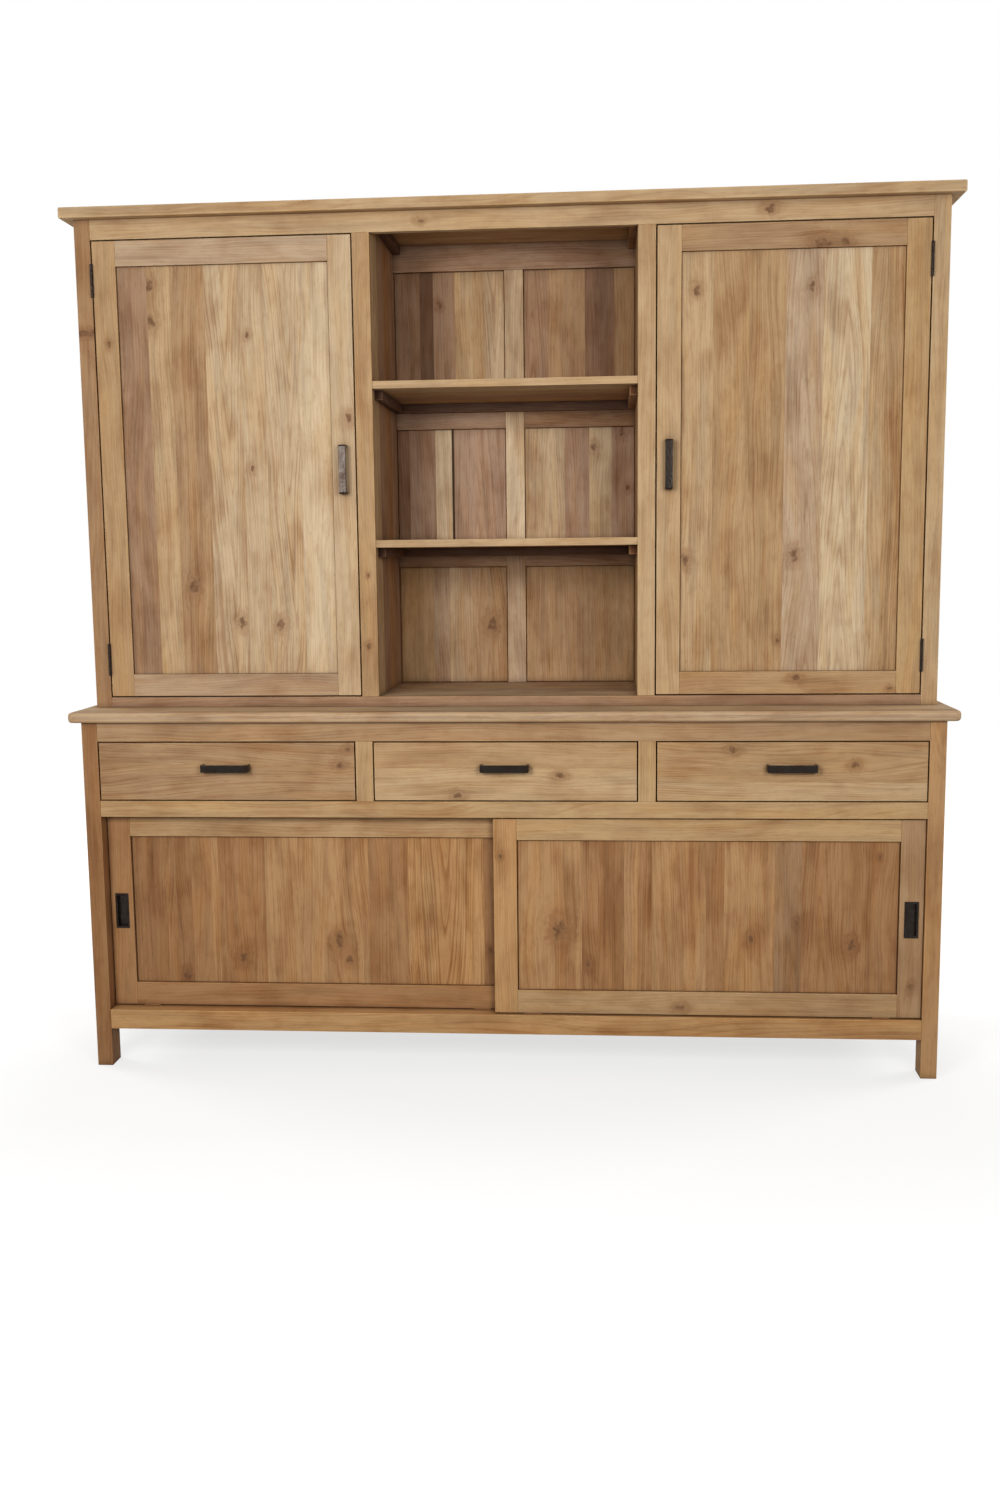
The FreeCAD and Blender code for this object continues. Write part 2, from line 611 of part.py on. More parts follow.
def back():
    """Frame and panel back of base and hutch: muntins run through between the long rails."""
    frame_y = (BACK_INSIDE, BACK)
    panel_front = plus(BACK_INSIDE, "Sizes.back_panel_recess")
    panel_y = (panel_front, plus(panel_front, "Sizes.back_panel_thickness"))
    across = (f"(-{INNER})", INNER)
    rails = []
    muntins = []
    panels = []

    def grid(name, lines, low, high, bands):
        """Muntins on the given lines, with cross rails over the bands and panels in the cells between."""
        edges = [across[0]]
        for number, (line, width) in enumerate(lines):
            span = about(line, width)
            muntins.append(board(f"{name}_muntin_{number}", span, frame_y, (low, high)))
            edges += span
        edges.append(across[1])
        for column in range(0, len(edges), 2):
            x = (edges[column], edges[column + 1])
            cell_low = low
            for number, (band_low, band_high) in enumerate(bands):
                rails.append(board(f"{name}_rail_{column}_{number}", x, frame_y, (band_low, band_high)))
                panels.append(board(f"{name}_panel_{column}_{number}", x, panel_y, (cell_low, band_low)))
                cell_low = band_high
            panels.append(board(f"{name}_panel_{column}_top", x, panel_y, (cell_low, high)))

    hutch_top = minus(CORNICE_LOW, "Sizes.back_top_rail_height")
    long_rails = {
        "base_back_bottom": ("Sizes.leg_clearance", LEDGE),
        "base_back_middle": (MIDDLE_RAIL_LOW, DECK),
        "base_back_top": (TOP_RAIL_LOW, WORKTOP_LOW),
        "hutch_back_bottom": (WORKTOP_TOP, HUTCH_FLOOR),
        "hutch_back_top": (hutch_top, CORNICE_LOW),
    }
    for name, z in long_rails.items():
        rails.append(board(name, across, frame_y, z))
    narrow = "Sizes.back_muntin_width"
    wide = "Sizes.divider_width"
    outer = [(f"(-{DIVIDER_MIDDLE})", wide), (DIVIDER_MIDDLE, wide)]
    grid("base_lower", outer, LEDGE, MIDDLE_RAIL_LOW, [])
    grid("base_upper", outer, DECK, TOP_RAIL_LOW, [])
    lines = [(f"(-{SIDE_BAY_MIDDLE})", narrow), outer[0], ("0", narrow), outer[1], (SIDE_BAY_MIDDLE, narrow)]
    bands = []
    for place, top in SHELF_TOPS.items():
        bands.append((minus(top, "Sizes.shelf_thickness", f"Sizes.{place}_back_rail_drop"), top))
    grid("hutch", lines, HUTCH_FLOOR, hutch_top, bands)
    group("back_rails", rails)
    group("back_muntins", muntins)
    group("back_panels", panels)


def hinged_doors():
    """The two hutch doors with their strap handles and butt hinges."""
    post_leaves = []
    for side in SIDES:
        label = f"{side}_door"
        x = mirrored((plus(DIVIDER_OUT, "Sizes.door_gap"), minus(INNER, "Sizes.door_gap")), side)
        y = (HUTCH_FRONT, plus(HUTCH_FRONT, "Sizes.door_thickness"))
        z = (plus(HUTCH_FLOOR, "Sizes.door_gap"), minus(HUTCH_RAIL_LOW, "Sizes.door_gap"))
        frame = ("Sizes.door_stile_width", "Sizes.door_top_rail_height", "Sizes.door_bottom_rail_height")
        group(f"{label}_frame", framed(label, x, y, z, *frame))
        door_panel(f"{label}_panel", x, y, z, *frame)
        handle_x = on_side(plus(DIVIDER_OUT, "Sizes.door_gap", "Sizes.door_stile_width / 2"), side)
        strap_handle(f"{label}_handle", handle_x, HUTCH_FRONT, f"(({z[0]} + {z[1]}) / 2)", upright=True)
        axis_x = on_side(minus(INNER, "Sizes.door_gap / 2"), side)
        axis_y = minus(HUTCH_FRONT, "Sizes.barrel_radius", "Sizes.barrel_clearance")
        hinge_middles = {
            "upper": minus(z[1], "Sizes.hinge_inset"),
            "lower": plus(z[0], "Sizes.hinge_inset"),
        }
        door_leaves = []
        for place, middle in hinge_middles.items():
            door_leaves.append(hinge_leaf(f"{label}_{place}_leaf", side, axis_x, axis_y, middle, "door"))
            post_leaves.append(hinge_leaf(f"{side}_post_{place}_leaf", side, axis_x, axis_y, middle, "post"))
            level = about(middle, "Sizes.hinge_height")
            post_leaves.append(rod(f"{side}_{place}_pin", axis_x, axis_y, level, "Sizes.pin_radius"))
        group(f"{label}_hinge_leaves", door_leaves)
    group("post_hinge_leaves_and_pins", post_leaves)


def sliding_doors():
    """The two by-pass doors of the base: the left one runs in the rear track."""
    for side, track in (("left", REAR_TRACK), ("right", FRONT_TRACK)):
        label = f"{side}_slider"
        x = mirrored(("(-Sizes.slider_overlap / 2)", minus(INNER, "Sizes.slider_end_gap")), side)
        y = (track, plus(track, "Sizes.slider_thickness"))
        z = (plus(LEDGE, "Sizes.slider_glide_thickness"), minus(MIDDLE_RAIL_LOW, "Sizes.slider_top_gap"))
        middle_y = plus(track, "Sizes.slider_thickness / 2")
        stile = "Sizes.slider_stile_width"
        frame = (stile, "Sizes.slider_top_rail_height", "Sizes.slider_bottom_rail_height")
        middle_z = f"(({z[0]} + {z[1]}) / 2)"
        pull_x = plus(x[0], f"{stile} / 2") if side == "left" else minus(x[1], f"{stile} / 2")
        kerf_y = about(middle_y, "(Sizes.fin_thickness + 2 * Sizes.kerf_clearance)")
        kerf_top = plus(LEDGE, "Sizes.fin_height", "Sizes.kerf_clearance")
        room = "2 * Sizes.pull_mortise_clearance"
        mortise_y = (track, plus(track, "Sizes.pull_cup_depth", "Sizes.pull_mortise_clearance"))
        members = []
        for member in framed(label, x, y, z, *frame):
            tools = []
            if "top_rail" not in member.Name:
                tools.append(board(f"{member.Name}_kerf", x, kerf_y, (z[0], kerf_top)))
            if member.Name == f"{label}_{side}_stile":
                width = about(pull_x, f"({PULL_CUP_WIDTH} + {room})")
                height = about(middle_z, f"({PULL_CUP_HEIGHT} + {room})")
                tools.append(board(f"{label}_mortise", width, mortise_y, height))
            members.append(cut(f"{member.Name}_cut", member, tools) if tools else member)
        group(f"{label}_frame", members)
        door_panel(f"{label}_panel", x, y, z, *frame)
        recessed_pull(f"{label}_pull", pull_x, track, middle_z)
        glide_starts = {
            "left": plus(x[0], "Sizes.guide_inset"),
            "right": minus(x[1], "Sizes.guide_inset", "Sizes.guide_length"),
        }
        tongue_width = "(Sizes.guide_groove_width - 2 * Sizes.guide_tongue_clearance)"
        tongue_top = plus(MIDDLE_RAIL_LOW, "Sizes.guide_tongue_rise")
        glides = []
        for end, start in glide_starts.items():
            along = (start, plus(start, "Sizes.guide_length"))
            for row, strip in (("front", (y[0], kerf_y[0])), ("back", (kerf_y[1], y[1]))):
                glides.append(board(f"{label}_{end}_{row}_glide", along, strip, (LEDGE, z[0])))
            tongue_y = about(middle_y, tongue_width)
            glides.append(board(f"{label}_{end}_tongue", along, tongue_y, (z[1], tongue_top)))
        group(f"{label}_glides", glides)


def drawers():
    """Three drawers: a flush front on an open box of two sides, a back and a bottom."""
    middles = {"left": f"(-{SIDE_BAY_MIDDLE})", "middle": "0", "right": SIDE_BAY_MIDDLE}
    for name, middle in middles.items():
        label = f"{name}_drawer"
        front_back = plus(FRONT, "Sizes.drawer_front_thickness")
        front_z = (plus(DECK, "Sizes.drawer_gap"), minus(TOP_RAIL_LOW, "Sizes.drawer_gap"))
        front_x = about(middle, f"({BAY} - 2 * Sizes.drawer_gap)")
        node(f"{label}_front", board(f"{label}_front", front_x, (FRONT, front_back), front_z))
        x = about(middle, f"({BAY} - 2 * Sizes.drawer_side_clearance)")
        inside = (plus(x[0], "Sizes.drawer_side_thickness"), minus(x[1], "Sizes.drawer_side_thickness"))
        box_back = plus(front_back, "Sizes.drawer_box_depth")
        back_front = minus(box_back, "Sizes.drawer_side_thickness")
        z = (DECK, plus(DECK, "Sizes.drawer_box_height"))
        bottom_low = plus(DECK, "Sizes.drawer_bottom_rise")
        bottom_z = (bottom_low, plus(bottom_low, "Sizes.drawer_bottom_thickness"))
        group(f"{label}_box", [
            board(f"{label}_left_side", (x[0], inside[0]), (front_back, box_back), z),
            board(f"{label}_right_side", (inside[1], x[1]), (front_back, box_back), z),
            board(f"{label}_back", inside, (back_front, box_back), z),
            board(f"{label}_bottom", inside, (front_back, back_front), bottom_z),
        ])
        handle_z = f"(({front_z[0]} + {front_z[1]}) / 2 + Sizes.drawer_handle_rise)"
        strap_handle(f"{label}_handle", middle, FRONT, handle_z, upright=False)


def write_parts():
    """Check every object of the document, then write each piece to its own file."""
    doc.recompute()
    failed = [item.Name for item in doc.Objects if {"Invalid", "Error"} & set(item.State)]
    failed += [piece.Label for piece in pieces if piece.Shape.isNull() or not piece.Shape.isValid()]
    if failed:
        raise RuntimeError("these did not build: " + ", ".join(failed))
    os.makedirs("parts", exist_ok=True)
    for piece in pieces:
        piece.Shape.exportStep(f"parts/{piece.Label}.step")
    print(f"{len(pieces)} pieces, {sum(len(piece.Shape.Solids) for piece in pieces)} solids")


base_frame()
middle_rail()
base_inside()
hutch_frame()
shelves_and_cleats()
door_stops()
ends()
back()
hinged_doors()
sliding_doors()
drawers()
write_parts()
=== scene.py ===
"""A two-part storage cupboard in reclaimed teak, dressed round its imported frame.

Each board of the cupboard is sawn, eased and joined here in place of its CAD solid, and carries its own
grain, tone and knots as attributes that the teak reads. The iron handles and pulls are forged anew, and the
hinges keep their CAD shape.
"""

import json
import logging
import math
import random
from collections.abc import Callable, Sequence
from dataclasses import dataclass
from enum import Enum
from functools import partial

import bpy
import numpy as np
from mathutils import Matrix, Vector


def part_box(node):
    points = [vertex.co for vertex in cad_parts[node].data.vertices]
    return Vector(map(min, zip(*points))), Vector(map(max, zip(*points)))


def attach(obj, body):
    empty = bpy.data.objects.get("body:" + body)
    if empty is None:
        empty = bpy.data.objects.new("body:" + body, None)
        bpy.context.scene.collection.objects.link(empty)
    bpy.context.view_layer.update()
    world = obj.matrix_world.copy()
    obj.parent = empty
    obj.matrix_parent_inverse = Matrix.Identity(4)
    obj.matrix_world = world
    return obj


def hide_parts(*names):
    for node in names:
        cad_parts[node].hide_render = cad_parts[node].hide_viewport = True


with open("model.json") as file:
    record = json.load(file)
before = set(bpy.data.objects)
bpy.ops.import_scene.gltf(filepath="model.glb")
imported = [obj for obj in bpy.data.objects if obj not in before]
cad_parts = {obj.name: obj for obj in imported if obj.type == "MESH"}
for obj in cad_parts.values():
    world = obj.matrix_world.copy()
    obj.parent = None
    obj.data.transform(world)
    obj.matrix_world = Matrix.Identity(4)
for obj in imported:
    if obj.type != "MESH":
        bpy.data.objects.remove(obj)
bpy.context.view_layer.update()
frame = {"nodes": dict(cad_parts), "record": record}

log = logging.getLogger("cupboard")
logging.basicConfig(level=logging.INFO, format="%(name)s: %(message)s")

MM = 0.001
BODY_OF = {node: body for body, nodes in frame["record"]["behaviour"]["bodies"].items() for node in nodes}
SLOT_OF = {part["node"]: part["material_slot"] for part in frame["record"]["subparts"]}

# A lowest and a highest corner, in metres
Box = tuple[Vector, Vector]
Socket = bpy.types.NodeSocket
Value = float | tuple[float, ...] | Socket
AddNode = Callable[..., bpy.types.NodeOutputs]
Shape = Callable[[bpy.types.Object], None]
Finishes = dict[str, bpy.types.Material]


class Axis(Enum):
    """The direction that a board's fibres run in."""

    X = 0
    Y = 1
    Z = 2


@dataclass(frozen=True)
class LogPlace:
    """Where a board lay in its log: millimetres from the pith, the rings' taper and how far they show."""

    across: float
    depth: float
    taper: float
    shown: float


class Sawn(Enum):
    """How a board was sawn, which sets the figure on its face."""

    QUARTER = LogPlace(across=170, depth=12, taper=0.004, shown=0.75)
    RIFT = LogPlace(across=80, depth=40, taper=0.016, shown=0.75)
    FLAT = LogPlace(across=0, depth=15, taper=-0.05, shown=0.9)
    FLAT_DOWN = LogPlace(across=0, depth=15, taper=0.05, shown=0.9)


class Tone(Enum):
    """The colour of a board's face, as sRGB: most in plain light, and two of them darkened with painted
    shade.
    """

    CREAM = "#E0C9A6"
    IVORY = "#D3BB98"
    SAND = "#C9AF8C"
    FAWN = "#C0A587"
    GOLD = "#C3A57E"
    STRAW = "#C09E72"
    HONEY = "#B9976E"
    DRIFT = "#B79B7C"
    DUSK = "#B6977D"
    TAN = "#B2906B"
    ROSE = "#A78669"
    NUT = "#A6825E"
    AMBER = "#C19665"
    CARAMEL = "#B88F63"
    BROWN = "#A97F56"
    COCOA = "#93735A"
    UMBER = "#9C734D"
    # A dark brown that carries painted shadow, for a strip of the bay's back
    SMOKE = "#7B5E47"
    # A dark brown that carries painted shade, for the cleats under the shelves
    BARK = "#6B5140"
    PITCH = "#4E3B2D"


@dataclass(frozen=True)
class Knot:
    """A knot, in millimetres to the right of and up from the lowest corner of its board or panel."""

    right: float
    up: float
    radius: float


@dataclass(frozen=True)
class Timber:
    """The wood of a board: its colour, how it was sawn, how bold its figure is and its knots."""

    tone: Tone = Tone.GOLD
    sawn: Sawn = Sawn.RIFT
    figure: float = 0.5
    knots: tuple[Knot, ...] = ()


@dataclass(frozen=True)
class Plank(Timber):
    """A board of a glued-up panel, with its width in millimetres."""

    width: float = 90.0


def plank_row(*rows: tuple) -> tuple[Plank, ...]:
    """Lay out a panel's planks.

    Args:
        *rows: Each plank's width in millimetres, and then its wood as Timber takes it.

    Returns:
        The planks, from left to right or from the bottom up.
    """
    return tuple(Plank(*wood, width=width) for width, *wood in rows)


FRAME_TONES = (Tone.GOLD, Tone.HONEY, Tone.GOLD, Tone.ROSE)
INSIDE_TONES = (Tone.ROSE, Tone.BROWN, Tone.HONEY, Tone.ROSE, Tone.GOLD)
END_TONES = (Tone.GOLD, Tone.HONEY, Tone.TAN, Tone.SAND, Tone.CARAMEL)
REAR_TONES = (Tone.ROSE, Tone.TAN, Tone.HONEY, Tone.DUSK, Tone.NUT)
# What a board that the photograph says little of is picked from, with sizes in millimetres
PLAIN_SAWN = (Sawn.RIFT, Sawn.RIFT, Sawn.QUARTER, Sawn.FLAT, Sawn.FLAT_DOWN)
PLAIN_FIGURE = (0.4, 0.65)
PLAIN_WIDTHS = (78.0, 112.0)
KNOT_CHANCE = 0.12
KNOT_RADII = (4.0, 8.0)
# The shares of a board's length and width between which such a knot lies
KNOT_ALONG = (0.1, 0.9)
KNOT_ACROSS = (0.2, 0.8)


def linear(colour: str) -> tuple[float, float, float, float]:
    """Turn an sRGB hex colour into linear values.

    Args:
        colour: The colour, as #RRGGBB.

    Returns:
        Red, green, blue and an alpha of 1.
    """
    channels = [int(colour[start:start + 2], 16) / 255 for start in (1, 3, 5)]
    return (*(c / 12.92 if c <= 0.04045 else ((c + 0.055) / 1.055) ** 2.4 for c in channels), 1.0)


def add_node(
    tree: bpy.types.NodeTree, kind: str,
    inputs: Sequence[Value] | dict[str | int, Value] = (), **settings: object,
) -> bpy.types.NodeOutputs:
    """Add a shader node with its settings and links.

    Args:
        tree: The material's or world's node tree.
        kind: The node's type, without the ShaderNode that it starts with.
        inputs: What the inputs get, in order, or by name or number: a value, or the output that feeds it.
        **settings: Properties of the node.

    Returns:
        The new node's outputs.
    """
    node = tree.nodes.new(f"ShaderNode{kind}")
    for key, value in settings.items():
        setattr(node, key, value)
    for key, value in inputs.items() if isinstance(inputs, dict) else enumerate(inputs):
        if isinstance(value, Socket):
            tree.links.new(value, node.inputs[key])
        else:
            node.inputs[key].default_value = value
    return node.outputs


def clear_nodes(owner: bpy.types.Material | bpy.types.World) -> AddNode:
    """Empty the node tree of a material or the world.

    Args:
        owner: The material or world.

    Returns:
        add_node for its tree.
    """
    owner.use_nodes = True
    owner.node_tree.nodes.clear()
    return partial(add_node, owner.node_tree)


SMOOTHLY = {"interpolation_type": "SMOOTHSTEP"}


def stretched(length: float, width: float) -> tuple[float, float, float]:
    """Give the scale that makes a noise run along the grain.

    Args:
        length: Length of a feature along the grain, in millimetres.
        width: Its width across the grain, in millimetres.

    Returns:
        The scale along, across and through the board, for coordinates in metres.
    """
    return (1 / (length * MM), 1 / (width * MM), 1 / (width * MM))


@dataclass(frozen=True)
class Layer:
    """One layer of the teak's figure: a noise along the grain that tints the wood where it is high.

    Attributes:
        length: Length of a feature along the grain, in millimetres.
        width: Its width across the grain, in millimetres.
        low: The noise below which the wood keeps its tone.
        high: The noise above which the tint is full.
        share: The most of the tint, from 0 to 1.
        tint: The sRGB colour that multiplies the wood's tone.
        bold: Whether a board's own boldness of figure scales it.
    """

    length: float
    width: float
    low: float
    high: float
    share: float
    tint: str
    bold: bool = False


@dataclass(frozen=True)
class TeakFinish:
    """Reclaimed teak, planed, sanded and left unsealed.

    The eye sees a dry, matt, golden-brown face. Soft streaks of straw, grey and brown wander along the
    grain, growth rings cut it into fine lines or nested arches, handled edges are paler, and painted shade
    darkens the corners.

    Attributes:
        slot: The record's material slot.
        ring: Spacing of the growth rings, in millimetres.
        lines: How dark the ring lines are, from 0 to 1.
        contrast: How strong the other layers of the figure are.
        roughness: Lowest and highest roughness.
    """

    slot: str
    ring: float = 6.5
    lines: float = 0.42
    contrast: float = 1.0
    roughness: tuple[float, float] = (0.58, 0.8)

    LAYERS = {
        "grey": Layer(240, 23, 0.46, 0.68, 0.50, "#DADBDF"),
        "gold": Layer(280, 35, 0.46, 0.68, 0.50, "#FBEED6"),
        "dark": Layer(260, 19, 0.50, 0.76, 0.36, "#C0A085", bold=True),
        "cloud": Layer(150, 72, 0.45, 0.72, 0.47, "#CDB49D"),
        "mottle": Layer(38, 19, 0.46, 0.74, 0.26, "#CFB9A4"),
        # Real fibres and pores are a third of these widths, drawn coarser so that they show in the render
        "fibre": Layer(80, 4.0, 0.42, 0.72, 0.23, "#C4A88E"),
        "pore": Layer(24, 1.6, 0.60, 0.72, 0.35, "#B08862"),
    }
    # How the grain wanders, in millimetres
    WANDER_LENGTH = 520.0
    WANDER_WIDTH = 110.0
    WANDER = 55.0
    # How unevenly the rings are spaced, as a share of a ring, and how soon that changes from ring to ring
    RING_UNEVEN = 2.2
    RING_CHANGE = 0.7
    # Where in its ring a line is darkest, and where it has faded
    RING_PEAK = 0.18
    RING_FADED = 0.75
    # The cloud noise over which the lines come in, and how far they show below it
    RINGS_SHOWN = (0.3, 0.6, 0.35)
    # How ragged a knot's outline is: the size of its lobes in millimetres, and their depth for its radius
    RAGGED_SIZE = 13.0
    RAGGED_EDGE = 2.4
    # How a knot is drawn out along the grain, and the share of its area that levels off its middle
    KNOT_STRETCH = (0.65, 1.0, 0.0)
    KNOT_ROOM = 0.45
    # The nearness to a knot over which its halo, its pale collar and its dark heart come in, and how much
    HALO = (0.06, 0.45, 0.6)
    COLLAR = (0.18, 0.6, 0.0, 0.3)
    HEART = (0.5, 1.4, 0.0, 0.85)
    # The lobe's height over which a heart becomes whole, and what is left of it below
    HEART_WHOLE = (-0.16, 0.06, 0.6)
    # Height of the raised fibres in millimetres, how much of it shows, and the noise that dulls the face
    BUMP_HEIGHT = 0.3
    BUMP_SHARE = 0.5
    DULLED = (0.3, 0.7)
    SPECULAR = 0.15

    LINE_TINT = "#BFA086"
    HALO_TINT = "#C2A286"
    KNOT_HEART = "#68472F"
    END_TINT = "#A98D74"
    WORN_LIGHT = "#E8E0D4"
    # Painted shade darkens the corners, recesses and joints, where shade falls: how far out, in millimetres,
    # how much, and the colour
    PAINTED_SHADE_REACH = 22.0
    PAINTED_SHADE_SHARE = 0.8
    PAINTED_SHADE_TINT = "#6B4A32"
    # How open a corner is where the painted shade is full and where it ends
    PAINTED_SHADE_FADE = (0.15, 0.9)
    # A face that lies against another board gets no painted shade: how open it is where that shade stops and
    # sets in
    PAINTED_SHADE_OPEN = (0.02, 0.14)

    def material(self) -> bpy.types.Material:
        """Build the teak's nodes.

        Returns:
            The material, which reads the attributes that Board writes.
        """
        material = bpy.data.materials.new(f"reclaimed_{self.slot}")
        add = clear_nodes(material)
        names = ("grain", "seed", "tone", "figure", "knot_a", "knot_b", "face")
        read = {name: add("Attribute", attribute_name=name)["Vector"] for name in names}
        taper, boldness, _ = add("SeparateXYZ", (read["figure"],))
        worn, end, _ = add("SeparateXYZ", (read["face"],))
        flow, knots, whole = self._flow(add, read)
        here = add("VectorMath", (flow, read["seed"]), operation="ADD")[0]

        noises = {}
        tints = []
        for name, layer in self.LAYERS.items():
            scaled = add("VectorMath", (here, stretched(layer.length, layer.width)), operation="MULTIPLY")[0]
            noises[name] = add("TexNoise", {"Vector": scaled, "Scale": 1.0, "Detail": 2.0})[0]
            share = layer.share * self.contrast
            tints.append((noises[name], layer.low, layer.high, share, layer.tint, layer.bold))
        shown = add("MapRange", (noises["cloud"], *self.RINGS_SHOWN))[0]
        rings = add("Math", (self._rings(add, flow, taper), shown), operation="MULTIPLY")[0]
        tints.append((rings, 0.0, 1.0, self.lines, self.LINE_TINT, True))
        tints.append((knots, *self.HALO, self.HALO_TINT, False))

        stains_and_shade = []
        for source, low, high, share, tint, bold in tints:
            factor = add("MapRange", (source, low, high, 0.0, share), **SMOOTHLY)[0]
            if bold:
                factor = add("Math", (factor, boldness), operation="MULTIPLY", use_clamp=True)[0]
            stains_and_shade.append((factor, linear(tint), "MULTIPLY"))
        collar = add("MapRange", (knots, *self.COLLAR))[0]
        heart = add("MapRange", (knots, *self.HEART))[0]
        heart = add("Math", (heart, whole), operation="MULTIPLY")[0]
        wear = add("Math", (worn, noises["fibre"]), operation="MULTIPLY")[0]
        # Painted shade: ambient occlusion darkens the colour in corners, recesses and between parts
        clear = add("AmbientOcclusion", {"Distance": self.PAINTED_SHADE_REACH * MM}, samples=6)["AO"]
        painted_shade = add("MapRange", (clear, *self.PAINTED_SHADE_FADE, self.PAINTED_SHADE_SHARE, 0.0))[0]
        reached = add("MapRange", (clear, *self.PAINTED_SHADE_OPEN))[0]
        painted_shade = add("Math", (painted_shade, reached), operation="MULTIPLY")[0]
        stains_and_shade += (
            (collar, read["tone"], "MIX"),
            (heart, linear(self.KNOT_HEART), "MIX"),
            (end, linear(self.END_TINT), "MULTIPLY"),
            (wear, linear(self.WORN_LIGHT), "SOFT_LIGHT"),
            (painted_shade, linear(self.PAINTED_SHADE_TINT), "MULTIPLY"),
        )
        colour = read["tone"]
        for factor, tint, blend in stains_and_shade:
            colour = add("Mix", {0: factor, 6: colour, 7: tint}, data_type="RGBA", blend_type=blend)[2]

        roughness = add("MapRange", (noises["fibre"], *self.DULLED, *self.roughness))[0]
        relief = add("Math", (noises["fibre"], noises["pore"]), operation="SUBTRACT")[0]
        raised = {"Strength": self.BUMP_SHARE, "Distance": self.BUMP_HEIGHT * MM, "Height": relief}
        shader = add("BsdfPrincipled", {
            "Base Color": colour,
            "Roughness": roughness,
            "Specular IOR Level": self.SPECULAR,
            "Normal": add("Bump", raised)[0],
        })[0]
        add("OutputMaterial", {"Surface": shader})
        return material

    def _flow(self, add: AddNode, read: dict[str, Socket]) -> tuple[Socket, Socket, Socket]:
        """Let the grain wander along the board, and bend it round the knots.

        Args:
            add: Adds a node to the material.
            read: The board's attributes.

        Returns:
            The place in the flow of the grain, how near each point is to a knot, and how whole a heart is.
        """
        along, across, depth = add("SeparateXYZ", (read["grain"],))
        here = add("VectorMath", (read["grain"], read["seed"]), operation="ADD")[0]
        lobes = {"Vector": here, "Scale": 1 / (self.RAGGED_SIZE * MM), "Detail": 1.2}
        ragged = add("TexNoise", lobes)["Color"]
        ragged = add("VectorMath", (ragged, (0.5, 0.5, 0.5)), operation="SUBTRACT")[0]
        lobe = add("SeparateXYZ", (ragged,))[2]
        whole = add("MapRange", (lobe, *self.HEART_WHOLE))[0]
        nearness = 0.0
        for name in ("knot_a", "knot_b"):
            _, aside, radius = add("SeparateXYZ", (read[name],))
            edge = add("Math", (radius, self.RAGGED_EDGE), operation="MULTIPLY")[0]
            wobble = add("VectorMath", {0: ragged, "Scale": edge}, operation="SCALE")[0]
            spot = add("VectorMath", (read[name], wobble), operation="ADD")[0]
            flat = add("VectorMath", (spot, self.KNOT_STRETCH), operation="MULTIPLY")[0]
            distance = add("VectorMath", (flat, flat), operation="DOT_PRODUCT")["Value"]
            area = add("Math", (radius, radius), operation="MULTIPLY")[0]
            room = add("Math", (area, self.KNOT_ROOM, distance), operation="MULTIPLY_ADD")[0]
            near = add("Math", (area, room), operation="DIVIDE")[0]
            push = add("Math", (aside, near), operation="MULTIPLY")[0]
            across = add("Math", (across, push), operation="SUBTRACT")[0]
            nearness = add("Math", (nearness, near), operation="ADD")[0]
        scale = stretched(self.WANDER_LENGTH, self.WANDER_WIDTH)
        scaled = add("VectorMath", (here, scale), operation="MULTIPLY")[0]
        wander = add("TexNoise", {"Vector": scaled, "Scale": 1.0, "Detail": 1.5})[0]
        wander = add("Math", (wander, 0.5), operation="SUBTRACT")[0]
        across = add("Math", (wander, self.WANDER * MM, across), operation="MULTIPLY_ADD")[0]
        return add("CombineXYZ", (along, across, depth))[0], nearness, whole

    def _rings(self, add: AddNode, flow: Socket, taper: Socket) -> Socket:
        """Cut the log's growth rings with the board's face.

        Args:
            add: Adds a node to the material.
            flow: The place in the flow of the grain, measured from the pith.
            taper: How fast the rings widen along the board.

        Returns:
            The ring pattern.
        """
        along, across, depth = add("SeparateXYZ", (flow,))
        flat = add("CombineXYZ", (across, depth))[0]
        ring = add("VectorMath", (flat,), operation="LENGTH")["Value"]
        lean = add("Math", (along, taper), operation="MULTIPLY")[0]
        ring = add("Math", (ring, lean), operation="SUBTRACT")[0]
        count = add("Math", (ring, 1 / (self.ring * MM)), operation="MULTIPLY")[0]
        change = {"W": count, "Scale": self.RING_CHANGE, "Detail": 1.0}
        uneven = add("TexNoise", change, noise_dimensions="1D")[0]
        phase = add("Math", (uneven, self.RING_UNEVEN, count), operation="MULTIPLY_ADD")[0]
        grown = add("Math", (phase,), operation="FRACT")[0]
        rise = add("MapRange", (grown, 0.0, self.RING_PEAK), **SMOOTHLY)[0]
        fade = add("MapRange", (grown, self.RING_PEAK, self.RING_FADED, 1.0, 0.0), **SMOOTHLY)[0]
        return add("Math", (rise, fade), operation="MULTIPLY")[0]


